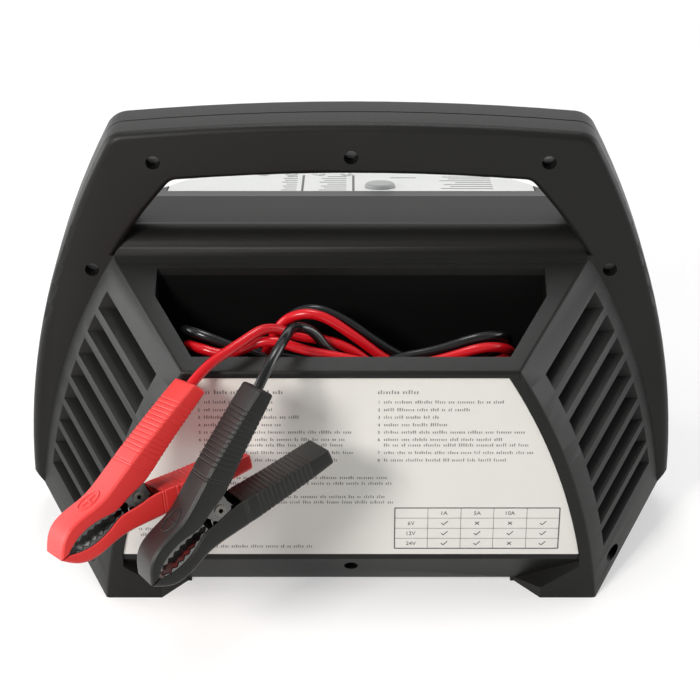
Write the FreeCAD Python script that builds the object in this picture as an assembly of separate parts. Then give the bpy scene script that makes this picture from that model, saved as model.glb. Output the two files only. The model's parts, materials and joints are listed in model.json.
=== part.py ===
import FreeCAD, Part
import math
import os
from FreeCAD import Vector

os.makedirs("parts", exist_ok=True)

# Axes: +X right as seen from the rear, -Y towards the rear, +Z up.
# Sizes are laid out from the ground and from the parting plane of the two shells.

# Housing: the arched frame
frame_width = 269.6
frame_height = 187.7
frame_depth = 13.0          # each half, from the parting plane
frame_top_radius = 1000.0
frame_side_radius = 333.0
frame_side_foot = 24.0      # height at which the side stands upright
frame_corner_radius = 10.0
frame_edge_radius = 3.4
parting_chamfer = 0.45

# Housing: the hand gap and the flank curve that runs on down from it
handle_height = 21.2        # the bar over the hand gap
gap_top = frame_height - handle_height
gap_top_radius = 825.0
gap_half_width = 70.9
gap_corner_radius = 6.0
gap_edge_radius = 2.4
gap_floor = 131.0           # the frame's own cut ends here, under the body's top
knee_x = 110.6
knee_drop = 65.5            # from the top of the hand gap down to the knee
knee_z = gap_top - knee_drop
knee_angle = math.radians(23.7)
flank_foot_x = 130.8
flank_foot_z = 21.2

# Housing: the two pods that stand out of the frame
body_top = 139.6
hump_flat = 2.0
hump_shoulder = (-10.0, 135.3)
hump_foot_run = 2.5
wall = 3.0
flank_wall = 3.6            # measured in the XZ plane
channel_floor = 60.0        # the frame's legs are solid below this
rear_pod = {"way": -1, "start": 13.0, "face": 64.7, "narrow": 30.7, "drop": 23.0, "ridge": 130.1,
            "louvres": 8, "louvre_top": 117.8, "foot_inner": 36.0}
front_pod = {"way": 1, "start": 24.0, "face": 80.0, "narrow": 30.7, "drop": 14.0, "ridge": 139.6,
             "louvres": 9, "louvre_top": 129.0, "foot_inner": 50.0}
pod_edge_radius = 2.0
foot_half_width = 100.2
cut_angle = math.radians(55.8)

# Housing: underside, feet and the slanted strip between the feet
strip_top = 20.9
strip_run = 11.6
strip_bottom = 1.9
strip_half_top = 92.5
strip_half_bottom = 67.6
foot_inner_x = 77.5
foot_step = 5.0
foot_shoulder = 15.5
underside_half = 66.0
base_lift = 1.9

# Louvres in the four side facets
louvre_pitch = 10.6
louvre_gap = 7.7            # each pod's louvre_top is the first gap's upper edge at its frame end
louvre_depth = 8.5          # measured along X
louvre_frame_margin = 5.5   # along Y
louvre_rim_margin = 8.9
louvre_back = 1.8

# Cable compartment
mouth_top = 5.2             # distances down the slope from the ridge line
mouth_knee = 19.4
mouth_bottom = 49.0
mouth_half_width = 77.3
mouth_half_bottom = 61.7
tray_wall = 1.8
tray_floor = 56.0

# Rear label and control panel
label_inset = 4.5
label_top = 104.7
label_recess = 1.5
label_thickness = 0.5
panel_recess = 1.0
panel_thickness = 0.6

# Screws
recess_sides = 12
screw_sides = 8
post_sides = 8
screw_recess_radius = 2.9
screw_head_radius = 2.7
screw_head_height = 2.0
screw_radius = 1.5
screw_clearance = 0.05
screw_length = 14.0
screw_seat = 6.0            # head seat, from the parting plane
boss_radius = 4.6
handle_screw_rise = 7.3     # over the hand gap's top
outer_screw_drop = 2.2
frame_screws = [(0.0, gap_top + handle_screw_rise), (104.0, 124.6), (-104.0, 124.6)]
frame_screws += [(x, gap_top + handle_screw_rise - outer_screw_drop) for x in (77.4, -77.4)]
body_screws = [(0.0, 12.2), (108.0, 12.1), (-108.0, 12.1)]

small_screw_radius = 1.4
small_screw_length = 8.0
small_screw_gap = 0.2
small_head_height = 1.6
small_head_radius = 2.6
post_radius = 3.6

# Clearances
running_gap = 0.05
fit_gap = 0.3

# Control panel: places are (x, distance down the panel)
panel_shift = 5.2           # the panel's outline lies this much further down its slope than the mouth's
button_x = 12.3
button_s = 21.1
button_radius = 6.3
button_rise = 1.4
button_chamfer = 0.7
button_sides = 24
button_idle = 0.8           # stem to switch
rocker_x = 58.0             # the rocker switch is in the upright front face
rocker_z = 88.0
rocker_half = (7.6, 11.0)
rocker_bezel = 1.5
rocker_depth = 15.0
rocker_width = 11.0
rocker_reach = 8.2
rocker_axis = -3.6
rocker_pin = 1.2
pin_sides = 16
rocker_crest = 5.0          # of its raised ends, from the face, when level
rocker_tilt = 9.0
rocker_turn = math.radians(rocker_tilt)
rocker_proud = rocker_reach * math.sin(rocker_turn) + rocker_crest * math.cos(rocker_turn) + rocker_axis
lens_radius = 2.5
lens_sides = 12
lens_flange = 0.8
led_radius = 1.5
led_drop = 3.0              # from the wall's underside to the lamp's shoulder
lens_s = 48.5
lens_places = [-50.0, -38.0, -26.0, -14.0, -2.0]
board_drop = 14.0           # component side of the board, below the panel
board_thickness = 1.6
board_box = (-61.0, 60.0, 7.0, 52.5)
board_holes = [(-56.0, 13.0), (54.0, 13.0), (-57.0, 32.0), (16.0, 45.0)]
switch_height = 3.5
switch_plunger = 0.8

# Transformer
core_width = 84.0
core_height = 70.0
core_stack = 40.0
core_y = 38.0
core_z = 14.0
bobbin_wall = 1.5
strap_thickness = 1.5
strap_width = 30.0
core_feet = [(-50.0, core_y), (50.0, core_y)]

# Works under the tray
deck_z = 18.0
sink_box = (-10.0, 78.0, -47.0, -9.0)
sink_base = 3.0
sink_height = 34.0
sink_fin_start = 10.0
sink_fin = 2.0
sink_fins = 8
sink_fin_run = 38.0
sink_holes = [(72.5, -42.0), (72.5, -14.0), (-5.0, -28.0)]
bridge_side = 28.0
bridge_height = 10.0
tag_half = 3.0
tag_thickness = 0.8
tag_height = 10.0
power_box = (-92.0, -22.0, -48.0, -8.0)
power_board_holes = [(-87.0, -13.0), (-27.0, -13.0), (-87.0, -43.0), (-27.0, -43.0)]
capacitor_radius = 9.0
capacitor_height = 26.0
fuse_radius = 2.6

# Leads
lead_radius = 2.0
lead_sides = 6
lead_pitch = 4.5            # between the middles of the two leads of a pair, black above red
coil_middle = -37.75        # the loops' middle along Y
coil_half = (63.0, 17.6)
coil_start = 62.05
coil_rise = 18.15           # per turn
coil_turns = 1
grommet_y = -24.2
grommet_z = coil_start + lead_pitch / 2
grommet_half = (3.4, lead_pitch / 2 + 3.2)
grommet_run = 9.0           # straight length of the leads through it
grommet_flange = 0.8
gland_radius = 4.6
gland_rim = 1.6
gland_inside = 2.4
gland_bore = 2.8
gland_sides = 16

# Clamps: place of the pivot, direction of the nose and of the upper lever
clamp_places = {
    "red": (Vector(-83.15, -99.15, 75.1), Vector(-0.736, -0.549, -0.395), Vector(-0.520, 0.086, 0.850)),
    "black": (Vector(-51.19, -111.96, 78.16), Vector(-0.666, -0.487, -0.565), Vector(-0.649, 0.007, 0.760)),
}
grip_half_width = 9.9
grip_nose_half = 10.7
grip_gap = 0.3              # between the grip and the metal inside it
jaw_half_width = 9.0
jaw_sheet = 1.2
jaw_tail_half = 7.5
grip_outer = [(-42, 21), (-32, 19), (-20, 16.3), (-8, 13.4), (5, 9.8), (14, 8), (24, 8), (31, 6.3), (35, 2.8),
              (37, 0.15)]
grip_inner = [(-44, 15.5), (-33, 12), (-22, 8.6), (-12, 5.2), (-5, 3), (3, 2.4), (10, 1.5), (15, 2.6),
              (22, 3.4), (28, 2.6), (33, 0.3)]
web_outer = [(-34, 16.4), (-20, 12.7), (-8, 9.3), (-3, 9.3), (5, 7.8), (14, 6.1), (24, 6.1), (30, 4.6),
             (33, 2.4), (34.2, 0.3)]
rib_count = 8
rib_pitch = 3.1
rib_width = 1.3
rib_height = 0.7
rib_first = -35.5
rivet_radius = 1.6
rivet_bore = 0.9
rivet_head = 2.2
rivet_head_height = 0.7
ear_radius = 4.2
spring_radius = 2.6
spring_wire = 0.5
spring_sides = 4
spring_turns = 3
spring_pitch = 1.8
spring_leg = 11.0
grip_round = 2.0
grip_crease = -8.0
pocket_start = -6.0
ear_gap = 0.1
lead_end = Vector((grip_outer[0][0] + grip_inner[0][0]) / 2, (grip_outer[0][1] + grip_inner[0][1]) / 2, 0)
lead_leave = Vector(grip_inner[0][1] - grip_outer[0][1], grip_outer[0][0] - grip_inner[0][0], 0)
jaw_heel = 8.0
jaw_teeth_end = 31.0
tooth_pitch = 3.2
tooth_height = 0.9
tooth_arch = 1.4

far = 400.0
rear = -1
front = 1


def save(name, shape):
    # Built round the parting plane, kept with the middle of the depth, rocker included, at the origin
    middle = (front_pod["face"] + rocker_proud - rear_pod["face"]) / 2
    shape.translated(Vector(0, -middle, 0)).exportStep("parts/" + name + ".step")
    litres = round(shape.Volume / 1000, 2)
    print(name, "solids", len(shape.Solids), "valid", shape.isValid(), "volume", litres)


def box(x0, x1, y0, y1, z0, z1):
    return Part.makeBox(x1 - x0, y1 - y0, z1 - z0, Vector(x0, y0, z0))


def rod(radius, start, direction, length):
    return Part.makeCylinder(radius, length, start, direction)


def line(p, q):
    return Part.LineSegment(p, q).toShape()


def ring_of(sides, radius, centre, direction):
    # A regular polygon across the direction, as a wire
    helper = Vector(0, 0, 1) if abs(direction.z) < 0.9 * direction.Length else Vector(1, 0, 0)
    u = direction.cross(helper).normalize()
    v = direction.cross(u).normalize()
    corners = []
    for k in range(sides):
        turn = 2 * math.pi * (k + 0.5) / sides
        corners.append(centre + u * (radius * math.cos(turn)) + v * (radius * math.sin(turn)))
    return Part.makePolygon(corners + corners[:1])


def bar(sides, radius, start, direction, length):
    # A prism of that many sides along the direction, its corners at the radius
    across = Vector(direction).normalize()
    return Part.Face(ring_of(sides, radius, start, across)).extrude(across * length)


def upright(sides, radius, x, y, low, high):
    return bar(sides, radius, Vector(x, y, low), Vector(0, 0, 1), high - low)


def cap(sides, radius, top_radius, start, height):
    # A low blunt point, upright in its own coordinates
    rings = [ring_of(sides, radius, start, Vector(0, 0, 1)),
             ring_of(sides, top_radius, start + Vector(0, 0, height), Vector(0, 0, 1))]
    return Part.makeLoft(rings, True, True)


def arc(p, middle, q):
    return Part.Arc(p, middle, q).toShape()


def polygon_face(points):
    return Part.Face(Part.makePolygon(points + [points[0]]))


# Points of the outlines are (x, z) pairs until a plane y is chosen for them

def arc_points(centre, radius, start, end):
    angles = [start, (start + end) / 2, end]
    return [(centre[0] + radius * math.cos(a), centre[1] + radius * math.sin(a)) for a in angles]


def outline_edges(right_half, y):
    # A closed outline from its right half: lines have two points and arcs three
    edges = []
    for run in right_half:
        points = [Vector(x, y, z) for x, z in run]
        edges.append(line(*points) if len(points) == 2 else arc(*points))
    for run in reversed(right_half):
        points = [Vector(-x, y, z) for x, z in reversed(run)]
        edges.append(line(*points) if len(points) == 2 else arc(*points))
    return edges


def symmetric_wire(right_half, y):
    # The first point and the last one lie on the plane of symmetry, so the two halves close
    return Part.Wire(outline_edges(right_half, y))


def sagged(centre_height, radius, x):
    return centre_height - radius + math.sqrt(radius ** 2 - x ** 2)


def frame_outline(inset):
    # Crown arc, corner arc, side arc, then straight down to the ground
    side_x = frame_width / 2
    crown_radius = frame_top_radius - inset
    crown_centre = (0.0, frame_height - frame_top_radius)
    side_radius = frame_side_radius - inset
    side_centre = (side_x - frame_side_radius, frame_side_foot)
    corner_radius = frame_corner_radius - inset
    # The corner's centre is where the two arcs, both drawn in by its radius, cross
    reach_crown = crown_radius - corner_radius
    reach_side = side_radius - corner_radius
    dx = side_centre[0] - crown_centre[0]
    dz = side_centre[1] - crown_centre[1]
    span = math.hypot(dx, dz)
    along = (reach_crown ** 2 - reach_side ** 2 + span ** 2) / (2 * span)
    off = math.sqrt(reach_crown ** 2 - along ** 2)
    corner_centre = (crown_centre[0] + (dx * along + dz * off) / span,
                     crown_centre[1] + (dz * along - dx * off) / span)
    crown_angle = math.atan2(corner_centre[1] - crown_centre[1], corner_centre[0] - crown_centre[0])
    side_angle = math.atan2(corner_centre[1] - side_centre[1], corner_centre[0] - side_centre[0])
    crown = arc_points(crown_centre, crown_radius, math.pi / 2, crown_angle)
    corner = arc_points(corner_centre, corner_radius, crown_angle, side_angle)
    side = arc_points(side_centre, side_radius, side_angle, 0.0)
    foot = side[-1]
    return [crown, corner, side, [foot, (foot[0], 0.0)], [(foot[0], 0.0), (0.0, 0.0)]]


def flank_arcs(inset):
    # Two arcs that share a tangent at the knee: hand gap corner to knee, knee to foot
    outward = (math.cos(knee_angle), math.sin(knee_angle))
    corner = (gap_half_width, sagged(gap_top, gap_top_radius, gap_half_width))
    arcs = []
    for end in (corner, (flank_foot_x, flank_foot_z)):
        dx = end[0] - knee_x
        dz = end[1] - knee_z
        radius = -(dx ** 2 + dz ** 2) / (2 * (dx * outward[0] + dz * outward[1]))
        centre = (knee_x - radius * outward[0], knee_z - radius * outward[1])
        end_angle = math.atan2(end[1] - centre[1], end[0] - centre[0])
        arcs.append((centre, radius - inset, end_angle))
    upper, lower = arcs
    return [arc_points(upper[0], upper[1], upper[2], knee_angle),
            arc_points(lower[0], lower[1], knee_angle, lower[2])]


def flank_outline(inset, low):
    # The pod's section across: level top at the hand gap's corner, flank arcs, level bottom
    upper, lower = flank_arcs(inset)
    top = [(0.0, upper[0][1]), upper[0]]
    down = [lower[-1], (lower[-1][0], low)]
    return [top, upper, lower, down, [(lower[-1][0], low), (0.0, low)]]


def moved_outline(outline, narrow, drop):
    # Every point of the right half goes in by narrow, but for those on the centre line
    return [[(x - narrow if x > 0 else x, z - drop) for x, z in run] for run in outline]


def prism_y(wire, depth):
    return Part.Face(wire).extrude(Vector(0, depth, 0))


def prism_x(points, x0, x1):
    # Points are (y, z) pairs
    return polygon_face([Vector(x0, y, z) for y, z in points]).extrude(Vector(x1 - x0, 0, 0))


def mirrored(shape):
    return shape.mirror(Vector(0, 0, 0), Vector(1, 0, 0))


def half_space(point, normal, size=400.0):
    # A block on the side of the plane that the normal points to
    n = Vector(normal).normalize()
    helper = Vector(0, 0, 1) if abs(n.z) < 0.9 else Vector(1, 0, 0)
    u = n.cross(helper).normalize() * size
    v = n.cross(u).normalize() * size
    return polygon_face([point - u - v, point + u - v, point + u + v, point - u + v]).extrude(n * size)


def ridge_run(pod):
    # From the frame to the pod's face along the right-hand ridge
    return Vector(-pod["narrow"], pod["way"] * (pod["face"] - pod["start"]), -pod["drop"])


def ridge_slope(pod):
    return pod["drop"] / (pod["face"] - pod["start"])


def flank_face(pod, inset):
    upper, lower = flank_arcs(inset)
    low = -90.0
    back = -300.0
    y = pod["way"] * pod["start"]
    runs = [[(back, upper[0][1]), upper[0]], upper, lower, [lower[-1], (lower[-1][0], low)]]
    runs += [[(lower[-1][0], low), (back, low)], [(back, low), (back, upper[0][1])]]
    edges = []
    for run in runs:
        points = [Vector(x, y, z) for x, z in run]
        edges.append(line(*points) if len(points) == 2 else arc(*points))
    return Part.Face(Part.Wire(edges))


def flank_side(pod, inset):
    # Everything on the inner side of the right-hand flank: straight near the frame, then along the ridge
    face = flank_face(pod, inset)
    straight = face.extrude(Vector(0, -pod["way"] * (pod["start"] + 5.0), 0))
    return straight.fuse(face.extrude(ridge_run(pod) * 1.1))


def both_flanks(pod, inset):
    side = flank_side(pod, inset)
    return side.common(mirrored(side))


def body_block(pod):
    # Side view: flat top, hump or panel slope, upright face, ground
    way = pod["way"]
    corner_z = pod["ridge"] - pod["drop"]
    face_y = way * pod["face"]
    if way == rear:
        foot_y = pod["start"] + hump_foot_run
        foot_z = pod["ridge"] - hump_foot_run * ridge_slope(pod)
        start = Vector(-far, -hump_flat, body_top)
        shoulder = Vector(-far, hump_shoulder[0], hump_shoulder[1])
        foot = Vector(-far, -foot_y, foot_z)
        top = [line(Vector(-far, 0, body_top), start), arc(start, Vector(-far, -6.6, 138.3), shoulder)]
        top += [arc(shoulder, Vector(-far, -12.4, 131.6), foot), line(foot, Vector(-far, face_y, corner_z))]
    else:
        start = Vector(-far, pod["start"], body_top)
        top = [line(Vector(-far, 0, body_top), start), line(start, Vector(-far, face_y, corner_z))]
    rest = [Vector(-far, face_y, corner_z), Vector(-far, face_y, 0), Vector(-far, 0, 0),
            Vector(-far, 0, body_top)]
    edges = top + [line(p, q) for p, q in zip(rest, rest[1:])]
    return Part.Face(Part.Wire(edges)).extrude(Vector(2 * far, 0, 0)).common(both_flanks(pod, 0.0))


def side_cut(pod):
    # The slanted underside of the right-hand flank: a plane that holds the ridge's direction
    way = pod["way"]
    ahead = rear_pod["start"] / (rear_pod["face"] - rear_pod["start"])
    root = Vector(foot_half_width + rear_pod["narrow"], way * pod["start"], rear_pod["drop"])
    if way == front:
        root += Vector(rear_pod["narrow"] * ahead, 0, rear_pod["drop"] * ahead)
    along = Vector(math.cos(cut_angle), 0, math.sin(cut_angle))
    normal = ridge_run(pod).cross(along) * way
    tapered = half_space(root, normal)
    if way == rear:
        return tapered
    straight = half_space(root, Vector(0, 1, 0).cross(along)).common(box(0, far, -1, pod["start"], -60, 60))
    return straight.fuse(tapered.common(box(0, far, pod["start"], 200, -60, 60)))


def strip_cut(pod):
    # The slanted strip between the feet
    way = pod["way"]
    face = pod["face"]
    low = 20.0
    run = strip_run / (strip_top - strip_bottom)
    wedge = prism_x([(way * (face + 4 * run), strip_top + 4), (way * (face - strip_run), strip_bottom),
                     (way * (face - strip_run), -low), (way * (face + 10), -low),
                     (way * (face + 10), strip_top + 4)],
                    -strip_half_top, strip_half_top)
    corner = Vector(foot_inner_x, way * face, foot_step)
    shoulder = Vector(strip_half_top, way * face, foot_shoulder)
    inner = Vector(strip_half_bottom, way * (face - strip_run), strip_bottom)
    foot = box(50, 110, *sorted((way * (face - 40), way * (face + 20))), -low, 40)
    above = (shoulder - corner).cross(inner - corner)
    foot = foot.cut(half_space(corner, above if above.z > 0 else above * -1))
    side = Vector(inner.x - corner.x, inner.y - corner.y, 0).cross(Vector(0, 0, 1))
    foot = foot.cut(half_space(corner, side if side.x < 0 else side * -1))
    return wedge.cut(foot).cut(mirrored(foot))


def louvre_cut(pod):
    # Openings between the right-hand treads, which lie parallel to the ridge
    way = pod["way"]
    near = pod["start"] + louvre_frame_margin
    end = pod["face"] - louvre_rim_margin
    fall = (end - near) * ridge_slope(pod)
    inside = flank_side(pod, 0.0).translated(Vector(-louvre_depth, 0, 0))
    cuts = []
    for k in range(pod["louvres"]):
        top = pod["louvre_top"] - k * louvre_pitch
        slot = prism_x([(way * near, top), (way * end, top - fall),
                        (way * end, top - fall - louvre_gap), (way * near, top - louvre_gap)], 30, 150)
        cuts.append(slot.cut(inside))
    return cuts


def louvre_back_zone(pod):
    # The cavity keeps this far away behind the treads
    way = pod["way"]
    near = pod["start"] + louvre_frame_margin - louvre_back
    end = pod["face"] - louvre_rim_margin + louvre_back
    fall = (end - near) * ridge_slope(pod)
    top = pod["louvre_top"] + louvre_back + 1.0
    low = pod["louvre_top"] - (pod["louvres"] - 1) * louvre_pitch - louvre_gap - louvre_back - 1.0
    corners = [(way * near, top), (way * end, top - fall), (way * end, low - fall), (way * near, low)]
    zone = prism_x(corners, 30, 150)
    return zone.cut(flank_side(pod, 0.0).translated(Vector(-louvre_depth - louvre_back, 0, 0)))


def cavity_block(pod):
    way = pod["way"]
    start = pod["start"]
    slope = math.atan(ridge_slope(pod))
    top_z = body_top - wall
    ridge_z = pod["ridge"] - wall / math.cos(slope)
    inner = pod["face"] - wall
    corner_z = ridge_z - (inner - start) * math.tan(slope)
    floor_z = base_lift + wall
    strip_rise = wall / math.cos(math.atan2(strip_run, strip_top - strip_bottom))
    level_end = -hump_shoulder[0] - wall if way == rear else start
    points = [(-way, floor_z), (-way, top_z), (way * level_end, top_z)]
    if way == rear:
        points.append((way * start, ridge_z))
    points += [(way * inner, corner_z), (way * inner, strip_top + strip_rise)]
    points += [(way * (pod["face"] - strip_run - wall), floor_z)]
    block = prism_x(points, -far, far).common(both_flanks(pod, flank_wall))
    under = side_cut(pod).translated(Vector(-2.2 * wall, 0, 0))
    zone = louvre_back_zone(pod)
    return block.cut(under).cut(mirrored(under)).cut(zone).cut(mirrored(zone))


def gap_wire(inset, low):
    # The hand gap: crown arc, rounded corner, flank arc, level floor
    upper = flank_arcs(inset)[0]
    centre = flank_centre()
    radius = flank_radius() - inset
    crown = gap_top_radius
    crown_centre = (0.0, gap_top - inset - crown)
    round_radius = gap_corner_radius
    reach_crown = crown - round_radius
    reach_side = radius - round_radius
    dx = centre[0] - crown_centre[0]
    dz = centre[1] - crown_centre[1]
    span = math.hypot(dx, dz)
    along = (reach_crown ** 2 - reach_side ** 2 + span ** 2) / (2 * span)
    off = math.sqrt(reach_crown ** 2 - along ** 2)
    middle = (crown_centre[0] + (dx * along + dz * off) / span,
              crown_centre[1] + (dz * along - dx * off) / span)
    crown_angle = math.atan2(middle[1] - crown_centre[1], middle[0] - crown_centre[0])
    side_angle = math.atan2(middle[1] - centre[1], middle[0] - centre[0])
    low_angle = math.asin((low - centre[1]) / radius)
    runs = [arc_points(crown_centre, crown, math.pi / 2, crown_angle),
            arc_points(middle, round_radius, crown_angle, side_angle),
            arc_points(centre, radius, side_angle, low_angle)]
    foot = runs[-1][-1]
    runs.append([foot, (0.0, low)])
    return runs


def flank_radius():
    outward = (math.cos(knee_angle), math.sin(knee_angle))
    dx = gap_half_width - knee_x
    dz = sagged(gap_top, gap_top_radius, gap_half_width) - knee_z
    return -(dx ** 2 + dz ** 2) / (2 * (dx * outward[0] + dz * outward[1]))


def flank_centre():
    return (knee_x - flank_radius() * math.cos(knee_angle), knee_z - flank_radius() * math.sin(knee_angle))


def on_plane(edge, y):
    span = edge.BoundBox
    return abs(span.YMin - y) < 1e-6 and abs(span.YMax - y) < 1e-6


def is_level(edge):
    return edge.BoundBox.ZLength < 1e-6


def in_hand_gap(edge):
    centre = edge.CenterOfMass
    return abs(centre.x) < 98 and gap_floor + 0.5 < centre.z < gap_top + 0.5


def frame_half(way):
    # The arch with its hand gap, rounded on the outside and with a fine chamfer at the joint
    arch = prism_y(symmetric_wire(frame_outline(0.0), 0), way * frame_depth)
    arch = arch.cut(prism_y(symmetric_wire(gap_wire(0.0, gap_floor), -5 * way), way * (frame_depth + 10)))
    face = [e for e in arch.Edges if on_plane(e, way * frame_depth) and e.CenterOfMass.z > 1]
    outside = [e for e in face if not in_hand_gap(e) and e.CenterOfMass.z != gap_floor]
    outside = [e for e in outside if not (is_level(e) and e.CenterOfMass.z < gap_top)]
    arch = arch.makeFillet(frame_edge_radius, outside)
    face = [e for e in arch.Edges if on_plane(e, way * frame_depth)]
    arch = arch.makeFillet(gap_edge_radius, [e for e in face if in_hand_gap(e) and not is_level(e)])
    seam = [e for e in arch.Edges if on_plane(e, 0.0) and e.CenterOfMass.z > 1]
    seam = [e for e in seam if not (is_level(e) and e.CenterOfMass.z < gap_top)]
    return arch.makeChamfer(parting_chamfer, seam)


def rounded_body(pod):
    # The tapered part gets its rounded ridges and rim before it joins the straight part
    way = pod["way"]
    run = ridge_run(pod)
    side = flank_face(pod, 0.0).translated(run * -0.2).extrude(run * 1.3)
    slope = ridge_slope(pod)
    face_y = pod["face"]
    back_y = pod["start"] - 8.0
    profile = [(way * back_y, pod["ridge"] + 8.0 * slope), (way * face_y, pod["ridge"] - pod["drop"]),
               (way * face_y, 0), (way * back_y, 0)]
    taper = prism_x(profile, -far, far).common(side.common(mirrored(side)))
    edges = []
    for e in taper.Edges:
        rim = on_plane(e, way * face_y) and e.CenterOfMass.z > strip_top + 1
        ridge = e.BoundBox.YLength > 20 and abs(e.BoundBox.ZMin - pod["ridge"] + pod["drop"]) < 0.01
        if rim or ridge:
            edges.append(e)
    taper = taper.makeFillet(pod_edge_radius, edges)
    outside = box(-far, far, *sorted((way * pod["start"], way * far)), -10, far)
    straight = body_block(pod).cut(outside)
    if way == rear:
        crest = body_block(pod).common(outside).cut(prism_x(profile, -far, far))
        straight = straight.fuse(crest)
    return straight.fuse(taper.common(outside))


def underside_cut():
    far_y = rear_pod["face"] + front_pod["face"]
    lengthwise = box(-underside_half, underside_half, -far_y, far_y, -5, base_lift)
    crosswise = box(-far, far, -rear_pod["foot_inner"], front_pod["foot_inner"], -5, base_lift)
    return lengthwise.fuse(crosswise)


def arch_channel(pod):
    # Inside the frame, from its feet's root over the handle
    way = pod["way"]
    outer = prism_y(symmetric_wire(frame_outline(wall), -way), way * (frame_depth - wall + 1))
    outer = outer.common(box(-far, far, -20, 20, channel_floor, frame_height))
    gap = prism_y(symmetric_wire(gap_wire(-wall, gap_floor - 6), -5 * way), way * (frame_depth + 10))
    return outer.cut(both_flanks(pod, -wall)).cut(gap)


def screw_towers(way):
    reach = rear_pod["face"] if way == rear else screw_length - screw_seat + 6
    towers = []
    for x, z in frame_screws + body_screws:
        towers.append(bar(post_sides, boss_radius, Vector(x, 0, z), Vector(0, way, 0), reach))
    for x, z in body_screws:
        towers.append(box(x - 1.5, x + 1.5, *sorted((0, way * reach)), base_lift + 1, z))
    return Part.Compound(towers)


def screw_holes(way):
    holes = []
    hole_radius = screw_radius + screw_clearance
    for x, z in frame_screws + body_screws:
        if way == rear:
            head = Vector(x, -screw_seat, z)
            holes.append(bar(recess_sides, screw_recess_radius, head, Vector(0, -1, 0), far))
            holes.append(bar(screw_sides, hole_radius, head, Vector(0, 1, 0), screw_length))
        else:
            depth = screw_length - screw_seat + 2
            holes.append(bar(screw_sides, hole_radius, Vector(x, -1, z), Vector(0, 1, 0), depth))
    return Part.Compound(holes)


def hexagon(grow):
    # The outline shared by the mouth of the compartment and the control panel: (x, distance down the slope)
    half = [(mouth_half_width, mouth_top), (mouth_half_width, mouth_knee), (mouth_half_bottom, mouth_bottom)]
    points = half + [(-x, s) for x, s in reversed(half)]
    wire = Part.makePolygon([Vector(x, s, 0) for x, s in points + points[:1]])
    return Part.Face(wire) if grow == 0 else Part.Face(wire).makeOffset2D(grow, 2)


def mouth_prism(grow, low, high):
    # The hexagon seen from above, as an upright prism
    cosine = math.cos(math.atan(ridge_slope(rear_pod)))
    face = hexagon(0.0)
    points = [v.Point for v in face.OuterWire.OrderedVertexes]
    flat = [Vector(p.x, -rear_pod["start"] - p.y * cosine, low) for p in points]
    base = polygon_face(flat)
    if grow:
        base = base.makeOffset2D(grow, 2)
    return base.extrude(Vector(0, 0, high - low))


def on_panel(shape):
    # From panel coordinates (x, down the slope, out of it) to the front pod's sloping top
    tilt = FreeCAD.Rotation(Vector(1, 0, 0), -math.degrees(math.atan(ridge_slope(front_pod))))
    placed = shape.copy()
    placed.Placement = FreeCAD.Placement(Vector(0, front_pod["start"], front_pod["ridge"]), tilt).multiply(
        placed.Placement)
    return placed


def on_front(shape):
    # From the rocker switch's own coordinates (x, down, out of the face) to the front pod's upright face
    placed = shape.copy()
    placed.Placement = FreeCAD.Placement(Vector(rocker_x, front_pod["face"], rocker_z),
                                         FreeCAD.Rotation(Vector(1, 0, 0), -90)).multiply(placed.Placement)
    return placed


def label_prism(inset, near, away, low, high):
    # A plate or pocket that follows the rim of the rear face
    outline = moved_outline(flank_outline(inset, -40.0), rear_pod["narrow"], rear_pod["drop"])
    prism = prism_y(symmetric_wire(outline, -away), away - near)
    return prism.common(box(-far, far, -away - 1, -near + 1, low, high))


def rear_openings():
    face = rear_pod["face"]
    pocket = label_prism(label_inset, face - label_recess, face + 2, strip_top, label_top)
    step = box(-strip_half_top, strip_half_top, -face - 1, -face + label_recess,
               strip_top - 4, strip_top + 0.5)
    return [mouth_prism(0.0, label_top - 10, body_top), pocket, step]


def panel_openings():
    # Pocket of the overlay, then the holes for the button, the rocker's body and the lamps
    cuts = [hexagon(0.0).extrude(Vector(0, 0, wall)).translated(Vector(0, panel_shift, -panel_recess))]
    through = (-2 * wall, 2 * wall)
    cuts.append(upright(button_sides, button_radius + running_gap, button_x, button_s, *through))
    cuts += [upright(lens_sides, lens_radius, x, lens_s, *through) for x in lens_places]
    return [on_panel(cut) for cut in cuts] + [on_front(rocker_block(0.0, -rocker_depth, wall))]


def rocker_block(grow, low, high):
    half_x = rocker_half[0] + grow
    half_s = rocker_half[1] + grow
    return box(-half_x, half_x, -half_s, half_s, low, high)


def pilot(x, y, low, high):
    return upright(screw_sides, small_screw_radius + screw_clearance, x, y, low, high)


def board_posts():
    posts = [upright(post_sides, post_radius, x, s, -board_drop, 0.5 - wall) for x, s in board_holes]
    pilots = [pilot(x, s, -board_drop - 1, small_screw_length - board_drop - 1) for x, s in board_holes]
    return [on_panel(p) for p in posts], [on_panel(p) for p in pilots]


def floor_posts(places, top):
    floor_z = base_lift + wall
    posts = [upright(post_sides, post_radius, x, y, floor_z - 0.5, top) for x, y in places]
    pilots = [pilot(x, y, floor_z - 0.5, top + 1) for x, y in places]
    return posts, pilots


def housing_half(pod):
    way = pod["way"]
    outer = frame_half(way).fuse(rounded_body(pod))
    under = side_cut(pod)
    outer = outer.cut(under).cut(mirrored(under)).cut(strip_cut(pod)).cut(underside_cut())
    slots = louvre_cut(pod)
    outer = outer.cut(slots + [mirrored(slot) for slot in slots])
    hollow = cavity_block(pod).fuse(arch_channel(pod))
    shell = outer.cut(hollow.cut(screw_towers(way))).cut(screw_holes(way))
    if way == rear:
        posts, pilots = floor_posts(power_board_holes + sink_holes, deck_z)
        openings = rear_openings()
    else:
        posts, pilots = floor_posts(core_feet, core_z)
        high_posts, high_pilots = board_posts()
        posts += high_posts
        pilots += high_pilots
        openings = panel_openings()
    return shell.fuse(posts).cut(openings + pilots)


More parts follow.
